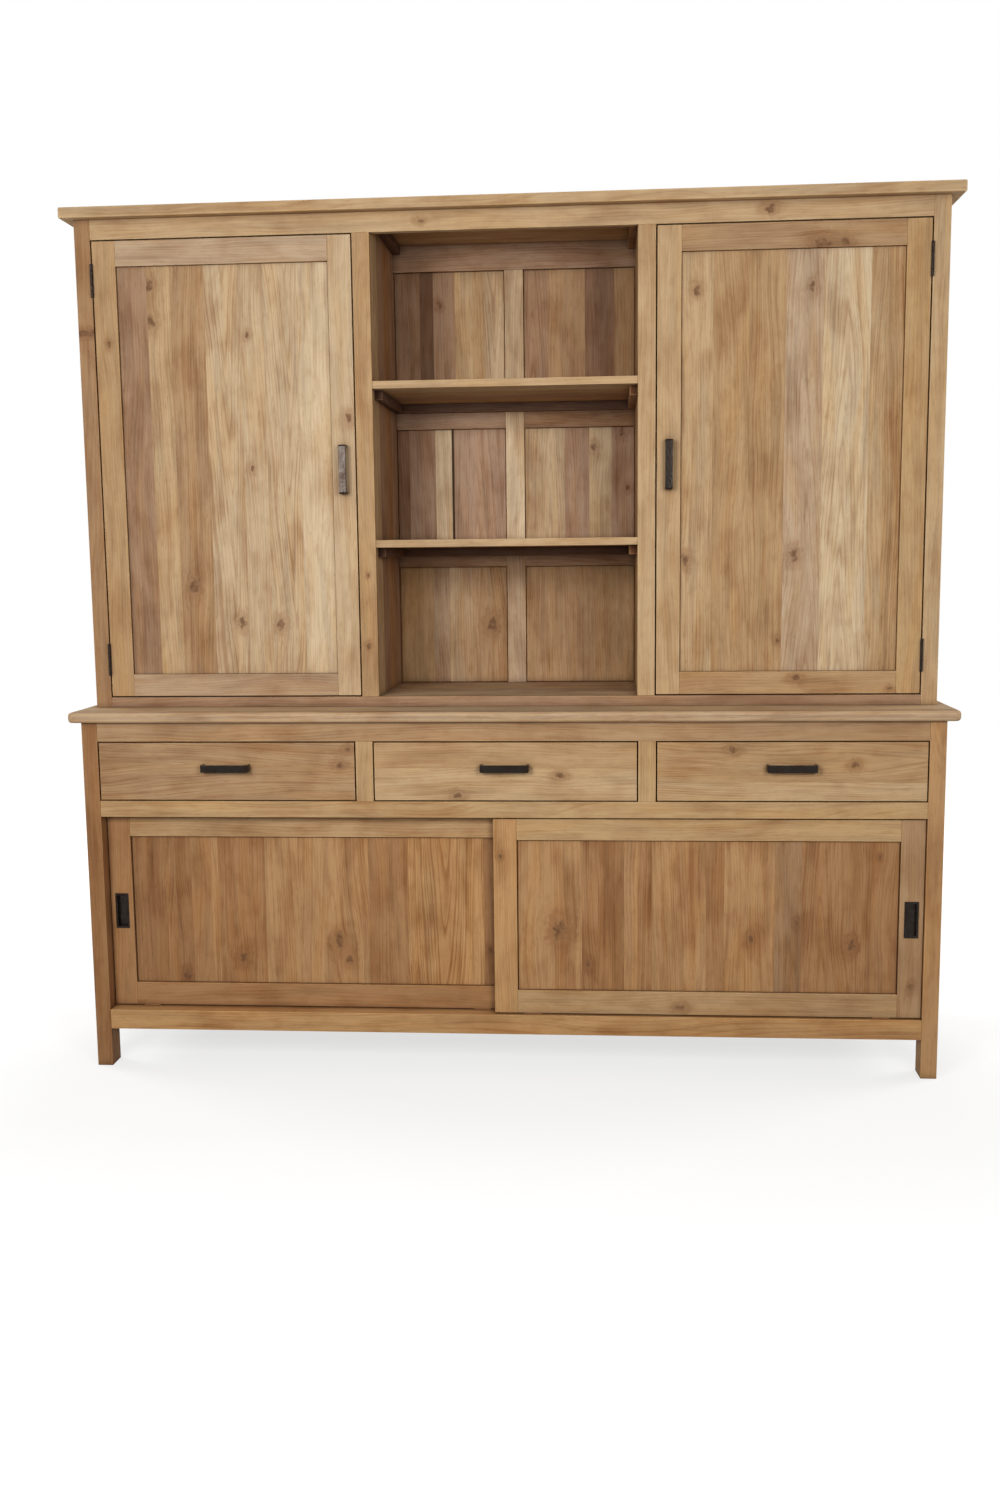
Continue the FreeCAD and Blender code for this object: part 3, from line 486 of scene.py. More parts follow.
@dataclass(frozen=True)
class IronFinish:
    """Forged iron, blackened in oil and waxed.

    The eye sees near black with a soft sheen, shallow hammer marks and a trace of brown.

    Attributes:
        slot: The record's material slot.
        hammer: Size of a hammer mark, in millimetres.
        mottle: Size of a patch of the oil's colour, in millimetres.
    """

    slot: str = "black_iron"
    hammer: float = 5.5
    mottle: float = 16.0

    BLACK = "#2A2521"
    BROWN = "#241B16"
    # The patches over which the brown comes in, and over which the roughness goes from its least to its most
    BROWNED = (0.4, 0.65)
    ROUGHNESS = (0.3, 0.7, 0.17, 0.3)
    METALLIC = 0.9
    # Depth of a hammer mark in millimetres, how much of it shows, and how softly marks run together
    BUMP_HEIGHT = 0.7
    BUMP_SHARE = 0.3
    SOFTNESS = 0.6

    def material(self) -> bpy.types.Material:
        """Build the iron's nodes.

        Returns:
            The material, which reads Object coordinates.
        """
        material = bpy.data.materials.new("forged_black_iron")
        add = clear_nodes(material)
        here = add("TexCoord")["Object"]
        mottle = add("TexNoise", {"Vector": here, "Scale": 1 / (self.mottle * MM), "Detail": 4.0})[0]
        share = add("MapRange", (mottle, *self.BROWNED))[0]
        hammered = {"Vector": here, "Scale": 1 / (self.hammer * MM), "Smoothness": self.SOFTNESS}
        marks = add("TexVoronoi", hammered, feature="SMOOTH_F1")["Distance"]
        raised = {"Strength": self.BUMP_SHARE, "Distance": self.BUMP_HEIGHT * MM, "Height": marks}
        colours = {0: share, 6: linear(self.BLACK), 7: linear(self.BROWN)}
        shader = add("BsdfPrincipled", {
            "Base Color": add("Mix", colours, data_type="RGBA")[2],
            "Roughness": add("MapRange", (mottle, *self.ROUGHNESS))[0],
            "Metallic": self.METALLIC,
            "Normal": add("Bump", raised)[0],
        })[0]
        add("OutputMaterial", {"Surface": shader})
        return material


FINISHES = (
    TeakFinish("teak_frame", lines=0.35, contrast=0.8),
    TeakFinish("teak_planks"),
    TeakFinish("teak_inside"),
    IronFinish(),
)


def select(*objects: bpy.types.Object) -> None:
    """Select objects alone, the first of them active, so that an operator acts on nothing else.

    Args:
        *objects: The objects, or none to leave nothing selected.
    """
    bpy.ops.object.select_all(action="DESELECT")
    for chosen in objects:
        chosen.select_set(True)
    if objects:
        bpy.context.view_layer.objects.active = objects[0]


def add_block(name: str, box: Box) -> bpy.types.Object:
    """Add a squared block, with its place in its mesh.

    Args:
        name: The block's name.
        box: Its corners.

    Returns:
        The block, selected and active.
    """
    low, high = box
    select()
    bpy.ops.mesh.primitive_cube_add(size=1, location=(low + high) / 2, scale=high - low)
    block = bpy.context.object
    block.name = name
    bpy.ops.object.transform_apply(location=True, rotation=False, scale=True)
    return block


def cut(block: bpy.types.Object, box: Box, operation: str = "DIFFERENCE") -> None:
    """Cut a box out of a block, or set one onto it.

    Args:
        block: The block.
        box: The box's corners.
        operation: The Boolean modifier's operation.
    """
    tool = add_block("tool", box)
    select(block)
    bpy.ops.object.modifier_add(type="BOOLEAN")
    modifier = block.modifiers[-1]
    modifier.object = tool
    modifier.operation = operation
    bpy.ops.object.modifier_apply(modifier=modifier.name)
    bpy.data.meshes.remove(tool.data)


def cut_slot(block: bpy.types.Object, run: Box, middle: float, width: float, depth: float) -> None:
    """Cut a slot from left to right into the underside of a board.

    Args:
        block: The board.
        run: The box that the slot runs under.
        middle: The slot's place from front to back, in metres.
        width: Its width, in millimetres.
        depth: Its depth, in millimetres.
    """
    low, high = run
    half = width * MM / 2
    start = Vector((low.x - MM, middle - half, low.z - MM))
    cut(block, (start, Vector((high.x + MM, middle + half, low.z + depth * MM))))


SHARP = math.radians(60)
ROUND_FACES = 4


def bevel(
    block: bpy.types.Object, width: float, faces: int = 2, chosen: Callable[[Vector], bool] | None = None
) -> None:
    """Ease every sharp edge of a block, or round the edges that a test chooses.

    Args:
        block: The block.
        width: Width of the easing or radius of the rounding, in millimetres.
        faces: Faces round the edge.
        chosen: Says from an edge's middle whether it is rounded.
    """
    select(block)
    bpy.ops.object.mode_set(mode="EDIT")
    bpy.ops.mesh.select_mode(type="EDGE")
    bpy.ops.mesh.select_all(action="DESELECT")
    if chosen is None:
        bpy.ops.mesh.edges_select_sharp(sharpness=SHARP)
    else:
        bpy.ops.object.mode_set(mode="OBJECT")
        points = block.data.vertices
        for edge in block.data.edges:
            first, second = edge.vertices
            edge.select = chosen((points[first].co + points[second].co) / 2)
        bpy.ops.object.mode_set(mode="EDIT")
    bpy.ops.mesh.bevel(offset=width * MM, segments=faces, affect="EDGES")
    bpy.ops.object.mode_set(mode="OBJECT")


def sink_border(plank: bpy.types.Object, panel: Box, width: float, sill: float, depth: float = 5.0) -> None:
    """Cut a narrow groove in a plank's front face where it runs along its panel's border.

    Args:
        plank: The plank.
        panel: The panel's corners.
        width: Width of the groove at the sides and the top, in millimetres.
        sill: Its width along the bottom, in millimetres.
        depth: Its depth, in millimetres.
    """
    low, high = panel
    select(plank)
    bpy.ops.object.mode_set(mode="EDIT")
    bpy.ops.mesh.select_all(action="SELECT")
    bpy.ops.mesh.bisect(plane_co=(0, low.y + depth * MM, 0), plane_no=(0, 1, 0))
    bpy.ops.object.mode_set(mode="OBJECT")
    for vertex in plank.data.vertices:
        if vertex.co.y > low.y + depth * MM / 2:
            continue
        vertex.co.x = min(max(vertex.co.x, low.x + width * MM), high.x - width * MM)
        vertex.co.z = min(max(vertex.co.z, low.z + sill * MM), high.z - width * MM)


CORNERS_PER_BOARD = 24
# How far a corner may lie off its board's box, in metres
SQUARE_WITHIN = 2e-5


def boards_of(node: str) -> list[Box]:
    """Read the squared boards that a CAD node is made of.

    Args:
        node: The node's name.

    Returns:
        Each board's corners, from the lowest board up and from left to right.
    """
    mesh = frame["nodes"][node].data
    points = np.empty(len(mesh.vertices) * 3)
    mesh.vertices.foreach_get("co", points)
    boxes = []
    for corners in points.reshape(-1, CORNERS_PER_BOARD, 3):
        low, high = corners.min(axis=0), corners.max(axis=0)
        off = np.minimum(np.abs(corners - low), np.abs(corners - high))
        if off.max() > SQUARE_WITHIN:
            raise ValueError(f"{node} is not made of squared boards")
        boxes.append((Vector(low), Vector(high)))
    return sorted(boxes, key=lambda box: (round(box[0].z, 4), round(box[0].x, 4), round(box[0].y, 4)))


@dataclass
class Board:
    """One sawn board.

    Attributes:
        name: Its name, which also seeds what differs from board to board.
        box: Its corners.
        timber: Its wood.
        grain: The way its fibres run, which is along its longest side where none is given.
        ease: Width of its eased edges, in millimetres.
        corner: The corner that its knots are measured from, in metres.
    """

    name: str
    box: Box
    timber: Timber
    grain: Axis | None = None
    ease: float = 1.2
    corner: Vector | None = None

    SEED_REACH = 3.0
    NO_KNOT = (9.0, 9.0, 0.0)
    # How far the pith may lie off the board's middle, as a share of its width
    PITH_OFF = 0.12
    # How squarely a face looks along an axis if it isn't an eased edge
    SQUARE_ON = 0.999

    def __post_init__(self) -> None:
        """Run the fibres along the longest side where nothing else is said."""
        if self.grain is None:
            size = self.box[1] - self.box[0]
            self.grain = max(Axis, key=lambda axis: size[axis.value])

    def saw(self, shape: Shape | None = None) -> bpy.types.Object:
        """Build the board and write its grain.

        Args:
            shape: Cuts or rounds the squared block before its edges are eased.

        Returns:
            The board's object.
        """
        block = add_block(self.name, self.box)
        if shape is not None:
            shape(block)
        bevel(block, self.ease)
        self._mark(block.data)
        return block

    def _mark(self, mesh: bpy.types.Mesh) -> None:
        """Write the attributes that the teak reads.

        Args:
            mesh: The board's mesh.
        """
        chance = random.Random(self.name)
        low, high = self.box
        size = high - low
        others = sorted((axis.value for axis in Axis if axis is not self.grain), key=lambda axis: -size[axis])
        order = [self.grain.value, *others]
        points = np.empty(len(mesh.vertices) * 3)
        mesh.vertices.foreach_get("co", points)
        place = points.reshape(-1, 3)[:, order]
        middle = np.array((low + high) / 2)[order]
        log_place = self.timber.sawn.value
        pith = np.array((0.0, chance.choice((-1, 1)) * log_place.across, log_place.depth)) * MM
        pith[1] += chance.uniform(-self.PITH_OFF, self.PITH_OFF) * size[order[1]]
        whole = np.ones((len(place), 1))
        rows = {
            "grain": place - middle + pith,
            "seed": whole * [chance.uniform(0, self.SEED_REACH) for _ in range(3)],
            "tone": whole * linear(self.timber.tone.value)[:3],
            "figure": whole * (log_place.taper, self.timber.figure * 2 * log_place.shown, 0.0),
            "knot_a": whole * self.NO_KNOT,
            "knot_b": whole * self.NO_KNOT,
        }
        for name, (spot, radius) in zip(("knot_a", "knot_b"), self._knots(chance, order[:2])):
            rows[name] = np.column_stack((place[:, :2] - spot, whole[:, 0] * radius))
        for name, values in rows.items():
            attribute = mesh.attributes.new(name, "FLOAT_VECTOR", "POINT")
            attribute.data.foreach_set("vector", values.astype(np.float32).ravel())
        normals = np.abs([face.normal for face in mesh.polygons])
        worn = normals.max(axis=1) < self.SQUARE_ON
        end = normals[:, self.grain.value] > self.SQUARE_ON
        face = mesh.attributes.new("face", "FLOAT_VECTOR", "FACE")
        face.data.foreach_set("vector", np.column_stack((worn, end, end * 0)).astype(np.float32).ravel())

    def _knots(self, chance: random.Random, order: Sequence[int]) -> list[tuple[np.ndarray, float]]:
        """Place the board's knots, or now and then one of its own where it has none.

        Args:
            chance: The board's own source of chance.
            order: The axes along and across the board.

        Returns:
            For each knot, its place along and across the grain and its radius, in metres.
        """
        low, high = self.box
        if self.timber.knots:
            corner = self.corner or low
            return [
                (np.array(corner + Vector((knot.right, 0, knot.up)) * MM)[order], knot.radius * MM)
                for knot in self.timber.knots
            ]
        if chance.random() > KNOT_CHANCE:
            return []
        start, end = np.array(low)[order], np.array(high)[order]
        share = np.array((chance.uniform(*KNOT_ALONG), chance.uniform(*KNOT_ACROSS)))
        return [(start + (end - start) * share, chance.uniform(*KNOT_RADII) * MM)]


def plain_timber(name: str, tones: Sequence[Tone]) -> Timber:
    """Pick wood for a board that the photograph says little of.

    Args:
        name: The board's name, which seeds the pick.
        tones: The tones to pick from.

    Returns:
        The wood.
    """
    chance = random.Random(f"{name} timber")
    sawn = chance.choice(PLAIN_SAWN)
    return Timber(chance.choice(tones), sawn, chance.uniform(*PLAIN_FIGURE))


def glue_up(
    name: str, box: Box, grain: Axis, planks: Sequence[Plank] | Sequence[Tone],
    ease: float = 0.5, shape: Shape | None = None,
) -> list[bpy.types.Object]:
    """Fill a panel with planks, side by side across the grain.

    Args:
        name: The panel's name.
        box: Its corners.
        grain: The way its fibres run.
        planks: Its planks from left to right or from the bottom up, or the tones to pick planks from.
        ease: Width of the planks' eased edges, in millimetres.
        shape: Cuts or rounds each plank before its edges are eased.

    Returns:
        The planks' objects.
    """
    low, high = box
    size = high - low
    across = max((axis.value for axis in Axis if axis is not grain), key=lambda axis: size[axis])
    if isinstance(planks[0], Tone):
        planks = pick_planks(name, size[across] / MM, planks)
    scale = size[across] / sum(plank.width for plank in planks)
    parts = []
    start = low[across]
    for number, plank in enumerate(planks):
        plank_low, plank_high = low.copy(), high.copy()
        plank_low[across] = start
        start += plank.width * scale
        plank_high[across] = start
        board = Board(f"{name}_plank_{number + 1}", (plank_low, plank_high), plank, grain, ease, corner=low)
        parts.append(board.saw(shape))
    return parts


def pick_planks(name: str, width: float, tones: Sequence[Tone]) -> list[Plank]:
    """Pick planks for a panel that the photograph says little of.

    Args:
        name: The panel's name, which seeds the pick.
        width: Width of the panel, in millimetres.
        tones: The tones to pick from.

    Returns:
        The planks, which glue_up scales to the panel.
    """
    chance = random.Random(f"{name} planks")
    planks = []
    while sum(plank.width for plank in planks) < width - PLAIN_WIDTHS[0] / 2:
        wood = plain_timber(f"{name} {len(planks)}", tones)
        planks.append(Plank(wood.tone, wood.sawn, wood.figure, width=chance.uniform(*PLAIN_WIDTHS)))
    return planks


@dataclass
class Assembly:
    """A sub-assembly of the cupboard, which joins boards into pieces and dresses them.

    Attributes:
        finishes: The material of each of the record's slots.
    """

    finishes: Finishes

    SMOOTH_BELOW = math.radians(50)

    def join(self, node: str, parts: Sequence[bpy.types.Object]) -> None:
        """Join parts into one piece that takes a node's place, finish and body.

        Args:
            node: The CAD node that the piece stands for.
            parts: The piece's parts.
        """
        select(*parts)
        if len(parts) > 1:
            bpy.ops.object.join()
        piece = parts[0]
        piece.name = f"{node}_made"
        piece.data.name = piece.name
        bpy.ops.object.shade_smooth_by_angle(angle=self.SMOOTH_BELOW)
        bpy.ops.object.modifier_add(type="WEIGHTED_NORMAL")
        piece.modifiers[-1].keep_sharp = True
        bpy.ops.object.modifier_apply(modifier=piece.modifiers[-1].name)
        self.dress(node, piece)
        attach(piece, BODY_OF[node])
        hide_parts(node)

    def dress(self, node: str, piece: bpy.types.Object) -> None:
        """Give a piece, or a CAD node that keeps its shape, the node's finish.

        Args:
            node: The CAD node.
            piece: What stands for it.
        """
        piece.data.materials.clear()
        piece.data.materials.append(self.finishes[SLOT_OF[node]])
        log.info("%s: %d faces", piece.name, len(piece.data.polygons))

    def single(self, node: str, timber: Timber, ease: float = 1.2) -> None:
        """Saw a node that is one board.

        Args:
            node: The node.
            timber: Its wood.
            ease: Width of its eased edges, in millimetres.
        """
        self.join(node, [Board(node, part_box(node), timber, ease=ease).saw()])

    def boards(self, node: str, tones: Sequence[Tone], right: Sequence[Tone] = ()) -> None:
        """Saw a node that is several plain boards.

        Args:
            node: The node.
            tones: The tones to pick from.
            right: The tones for boards right of the cupboard's middle, where they differ.
        """
        parts = []
        for number, box in enumerate(boards_of(node)):
            name = f"{node}_{number + 1}"
            wood = plain_timber(name, right if right and box[0].x > 0 else tones)
            parts.append(Board(name, box, wood).saw())
        self.join(node, parts)

    def panels(
        self, node: str, grain: Axis, planks: Sequence[Plank] | Sequence[Tone], label: str = ""
    ) -> None:
        """Glue up a node that is one or more wide boards.

        Args:
            node: The node.
            grain: The way their fibres run.
            planks: Each one's planks, or the tones to pick planks from.
            label: The start of their names, where it isn't the node's name.
        """
        parts = []
        for number, box in enumerate(boards_of(node)):
            parts += glue_up(f"{label or node}_{number + 1}", box, grain, planks)
        self.join(node, parts)


@dataclass
class Top(Assembly):
    """A broad board that caps a part of the cupboard: the worktop or the cornice.

    Attributes:
        node: Its node.
        radius: Radius of its front and end edges, in millimetres.
        corner: Radius of its front corners seen from above, in millimetres.
        planks: Its planks from front to back.
    """

    node: str
    radius: float
    corner: float
    planks: tuple[Plank, ...]

    CORNER_FACES = 6
    EASE = 0.3

    def build(self) -> None:
        """Glue up the board, with its front and end edges rounded and its back left square."""
        low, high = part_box(self.node)
        middle = (low + high) / 2
        reach = self.corner * MM

        def upright(edge: Vector) -> bool:
            """Say whether an edge stands at the front."""
            return abs(edge.z - middle.z) < MM and edge.y < low.y + MM

        def outer(edge: Vector) -> bool:
            """Say whether an edge runs along the front or an end."""
            return abs(edge.z - middle.z) > MM and (edge.y < low.y + reach or abs(edge.x) > high.x - reach)

        def shape(plank: bpy.types.Object) -> None:
            """Round a plank's outer edges, after the corners of the front one."""
            if plank.name.endswith("plank_1"):
                bevel(plank, self.corner, self.CORNER_FACES, upright)
            bevel(plank, self.radius, ROUND_FACES, outer)

        self.join(self.node, glue_up(self.node, (low, high), Axis.X, self.planks, self.EASE, shape))


@dataclass
class Sideboard(Assembly):
    """The base: legs, rails, floors, partition and shelves."""

    leg_ease: float = 1.5
    groove_width: float = 10.0
    groove_depth: float = 9.0

    def build(self) -> None:
        """Build the base's fixed pieces."""
        self.single("front_left_leg", Timber(Tone.UMBER), self.leg_ease)
        self.single("front_right_leg", Timber(Tone.CARAMEL, Sawn.QUARTER), self.leg_ease)
        self.single("rear_left_leg", Timber(Tone.HONEY), self.leg_ease)
        self.single("rear_right_leg", Timber(Tone.GOLD), self.leg_ease)
        self.single("base_top_rail", Timber(Tone.TAN))
        self.single("base_bottom_rail", Timber(Tone.AMBER, figure=0.6))
        rail = Board("base_middle_rail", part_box("base_middle_rail"), Timber(Tone.STRAW))
        self.join(rail.name, [rail.saw(self._groove)])
        self.boards("drawer_dividers", (Tone.STRAW,))
        self.boards("drawer_guides", INSIDE_TONES)
        self.boards("slider_guide_fins", INSIDE_TONES)
        for node in ("base_floor", "drawer_deck", "base_shelves"):
            self.panels(node, Axis.X, INSIDE_TONES)
        self.panels("base_partition", Axis.Z, INSIDE_TONES)

    def _groove(self, rail: bpy.types.Object) -> None:
        """Groove the rail over the sliding doors for their tongues.

        Args:
            rail: The rail.
        """
        for door in ("left_slider_frame", "right_slider_frame"):
            front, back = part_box(door)
            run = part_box("base_middle_rail")
            cut_slot(rail, run, (front.y + back.y) / 2, self.groove_width, self.groove_depth)


BAY_SHELF_PLANKS = plank_row(
    (96, Tone.GOLD, Sawn.RIFT, 0.4), (88, Tone.HONEY), (92, Tone.ROSE, Sawn.QUARTER), (92, Tone.HONEY),
)


@dataclass
class Hutch(Assembly):
    """The upper part: posts, stiles, rails, partitions, floor, shelves and their cleats."""

    stop_clearance: float = 1.0
    stop_ease: float = 0.4

    def build(self) -> None:
        """Build the hutch's fixed pieces and dress the hinges on its posts."""
        self.single("hutch_front_left_post", Timber(Tone.NUT, knots=(Knot(30, 873, 6),)))
        self.single("hutch_front_right_post", Timber(Tone.GOLD))
        left_knots = (Knot(20, 284, 4), Knot(18, 121, 5))
        self.single("hutch_left_stile", Timber(Tone.HONEY, figure=0.4, knots=left_knots))
        self.single("hutch_right_stile", Timber(Tone.GOLD, Sawn.QUARTER))
        self.single("hutch_top_rail", Timber(Tone.GOLD, knots=(Knot(1546, 26, 10), Knot(765, 22, 6))))
        self.single("hutch_bottom_rail", Timber(Tone.ROSE))
        self.boards("hutch_rear_posts", FRAME_TONES)
        self.panels("hutch_floor", Axis.X, (Tone.SAND, Tone.GOLD, Tone.FAWN))
        self.panels("side_bay_shelves", Axis.X, INSIDE_TONES)
        self.panels("bay_shelves", Axis.X, BAY_SHELF_PLANKS, "bay_shelf")
        self.panels("bay_partitions", Axis.Z, INSIDE_TONES)
        # Painted shade: the cleats on the left take a dark tone that stands for the shade under the shelves
        # and beside the left side; those on the right are lighter
        self.boards("shelf_cleats", (Tone.BARK,), right=(Tone.NUT,))
        self._door_stops()
        hinges = "post_hinge_leaves_and_pins"
        self.dress(hinges, frame["nodes"][hinges])

    def _door_stops(self) -> None:
        """Saw the two blocks behind the top rail, each rebated so that its lower half meets the door."""
        node = "door_stops"
        low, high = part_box(node)
        rail_low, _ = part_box("hutch_top_rail")
        sides = sorted({round(vertex.co.x, 5) for vertex in frame["nodes"][node].data.vertices})
        parts = []
        for number, (left, right) in enumerate((sides[:2], sides[2:])):
            name = f"{node}_{number + 1}"
            box = Vector((left, low.y, low.z)), Vector((right, high.y, high.z))
            rebate = (
                Vector((left - MM, low.y - MM, low.z - MM)),
                Vector((right + MM, low.y + self.stop_clearance * MM, rail_low.z)),
            )
            board = Board(name, box, plain_timber(name, INSIDE_TONES), Axis.X, self.stop_ease)
            parts.append(board.saw(partial(cut, box=rebate)))
        self.join(node, parts)


@dataclass
class Ends(Assembly):
    """The framed ends of base and hutch."""

    def build(self) -> None:
        """Build the end rails and end panels."""
        self.boards("side_rails", FRAME_TONES)
        self.panels("side_panels", Axis.Z, END_TONES)


# The lengths of the open bay's muntin, from the bottom up
# Painted light: the middle length is made paler than the others, where the muntin stands in the bay's shade
BAY_MUNTIN = (Tone.FAWN, Tone.CREAM, Tone.SAND)

# The planks behind the open bay, by row from the bottom up and by column from the left
BAY_BACK = {
    (0, 0): plank_row(
        (88, Tone.HONEY), (42, Tone.DRIFT), (60, Tone.SAND),
        (91, Tone.TAN, Sawn.FLAT, 0.6, (Knot(240, 150, 14),)),
    ),
    (0, 1): plank_row((70, Tone.TAN, Sawn.QUARTER), (110, Tone.TAN, Sawn.QUARTER), (101, Tone.HONEY)),
    (1, 0): plank_row(
        (32, Tone.COCOA), (67, Tone.DUSK), (42, Tone.CREAM), (6, Tone.PITCH), (134, Tone.DUSK, Sawn.FLAT),
    ),
    (1, 1): plank_row(
        (103, Tone.SAND, Sawn.FLAT),
        (62, Tone.DUSK),
        (57, Tone.IVORY, Sawn.RIFT, 0.5, (Knot(176, 232, 8),)),
        (59, Tone.DUSK, Sawn.RIFT, 0.5, (Knot(248, 268, 9), Knot(262, 128, 6))),
    ),
    (2, 0): plank_row(
        # The dark strip in the upper left panel is painted shadow, cast there by the bay's left side
        (65, Tone.ROSE), (34, Tone.SMOKE), (55, Tone.ROSE), (46, Tone.GOLD), (28, Tone.HONEY),
        (53, Tone.SAND, Sawn.FLAT_DOWN, 0.7),
    ),
    (2, 1): plank_row((62, Tone.ROSE, Sawn.FLAT, 0.6), (93, Tone.TAN), (73, Tone.COCOA), (53, Tone.TAN)),
}


@dataclass
class FramedBack(Assembly):
    """The framed back, which shows behind the open bay and from the rear."""

    sunk_line: float = 2.2

    def build(self) -> None:
        """Build the back's rails, muntins and panels."""
        self.boards("back_rails", (Tone.ROSE, Tone.DUSK))
        bay_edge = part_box("hutch_right_stile")[0].x
        hutch_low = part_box("hutch_floor")[1].z
        muntins = []
        for number, box in enumerate(boards_of("back_muntins")):
            low, high = box
            name = f"back_muntin_{number + 1}"
            if high.z > hutch_low and abs(low.x + high.x) / 2 < bay_edge:
                muntins += self._jointed(name, box)
            else:
                muntins.append(Board(name, box, plain_timber(name, REAR_TONES), Axis.Z).saw())
        self.join("back_muntins", muntins)
        panels = boards_of("back_panels")
        rows = sorted({round(low.z, 4) for low, _ in panels if low.z > hutch_low - MM})
        parts = []
        for number, box in enumerate(panels):
            low, high = box
            planks = REAR_TONES
            if low.z > hutch_low - MM and abs(low.x + high.x) / 2 < bay_edge:
                planks = BAY_BACK[rows.index(round(low.z, 4)), int(low.x > 0)]
            border = partial(sink_border, panel=box, width=self.sunk_line, sill=self.sunk_line)
            parts += glue_up(f"back_panel_{number + 1}", box, Axis.Z, planks, shape=border)
        self.join("back_panels", parts)

    def _jointed(self, name: str, box: Box) -> list[bpy.types.Object]:
        """Saw a muntin from short lengths of old wood, butted behind the bay's shelves.

        Args:
            name: The muntin's name.
            box: Its corners.

        Returns:
            The lengths, from the bottom up.
        """
        low, high = box
        levels = sorted((below.z + above.z) / 2 for below, above in boards_of("bay_shelves"))
        ends = [low.z, *levels, high.z]
        lengths = []
        for number, tone in enumerate(BAY_MUNTIN):
            length = Vector((low.x, low.y, ends[number])), Vector((high.x, high.y, ends[number + 1]))
            lengths.append(Board(f"{name}_{number + 1}", length, Timber(tone), Axis.Z).saw())
        return lengths


@dataclass
class StrapHandle(Assembly):
    """A forged strap, bent to a U with its two feet on the wood, in millimetres."""

    node: str
    strap: float = 5.0
    bend: float = 4.0
    ease: float = 0.8

    NEAR = 0.1 * MM

    def build(self) -> None:
        """Forge the handle in place of its CAD node."""
        low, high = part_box(self.node)
        size = high - low
        middle = (low + high) / 2
        length = 0 if size.x > size.z else 2
        reach = size[length] / 2 - self.NEAR
        past = Vector((MM, MM, MM))
        hollow_low, hollow_high = low - past, high + past
        hollow_low[length] = low[length] + self.strap * MM
        hollow_high[length] = high[length] - self.strap * MM
        hollow_low.y = low.y + self.strap * MM

        def bent(edge: Vector) -> bool:
            """Say whether an edge lies across the strap at one of its two bends."""
            return edge.y < low.y + self.NEAR and abs(edge[length] - middle[length]) > reach

        handle = add_block(self.node, (low, high))
        cut(handle, (hollow_low, hollow_high))
        bevel(handle, self.bend, ROUND_FACES, bent)
        bevel(handle, self.ease)
        self.join(self.node, [handle])


@dataclass
class RecessedPull(Assembly):
    """An iron plate with a sunk finger cup, held by four small nails, in millimetres.

    Attributes:
        node: Its node.
        rim: Width of the plate round the cup.
        plate: Thickness of the plate.
        wall: Thickness of the cup.
        nail: Radius of a nail's head.
        nail_depth: How far a head's middle lies behind the plate's face.
        nail_dome: How high a head is for its radius.
        ease: Width of the eased edges.
    """

    node: str
    rim: float = 5.0
    plate: float = 1.5
    wall: float = 1.5
    nail: float = 1.7
    nail_depth: float = 0.4
    nail_dome: float = 0.5
    ease: float = 0.5

    def build(self) -> None:
        """Make the pull in place of its CAD node."""
        low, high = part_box(self.node)
        rim = Vector((self.rim, 0, self.rim)) * MM
        wall = Vector((self.wall, 0, self.wall)) * MM
        pull = add_block(self.node, (low, Vector((high.x, low.y + self.plate * MM, high.z))))
        cut(pull, (low + rim - wall + Vector((0, self.plate * MM / 2, 0)), high - rim + wall), "UNION")
        cut(pull, (low + rim - Vector((0, MM, 0)), high - rim - Vector((0, self.wall * MM, 0))))
        bevel(pull, self.ease)
        self.join(self.node, [pull, *self._nails(low, high)])

    def _nails(self, low: Vector, high: Vector) -> list[bpy.types.Object]:
        """Drive a domed nail through each corner of the plate.

        Args:
            low: The plate's lowest corner, in metres.
            high: Its highest corner, in metres.

        Returns:
            The nails.
        """
        inset = self.rim * MM / 2
        y = low.y + self.nail_depth * MM
        nails = []
        for x in (low.x + inset, high.x - inset):
            for z in (low.z + inset, high.z - inset):
                select()
                bpy.ops.mesh.primitive_uv_sphere_add(
                    segments=16, ring_count=8, radius=self.nail * MM, location=(x, y, z)
                )
                nail = bpy.context.object
                nail.scale.y = self.nail_dome
                bpy.ops.object.transform_apply(location=True, rotation=False, scale=True)
                nails.append(nail)
        return nails


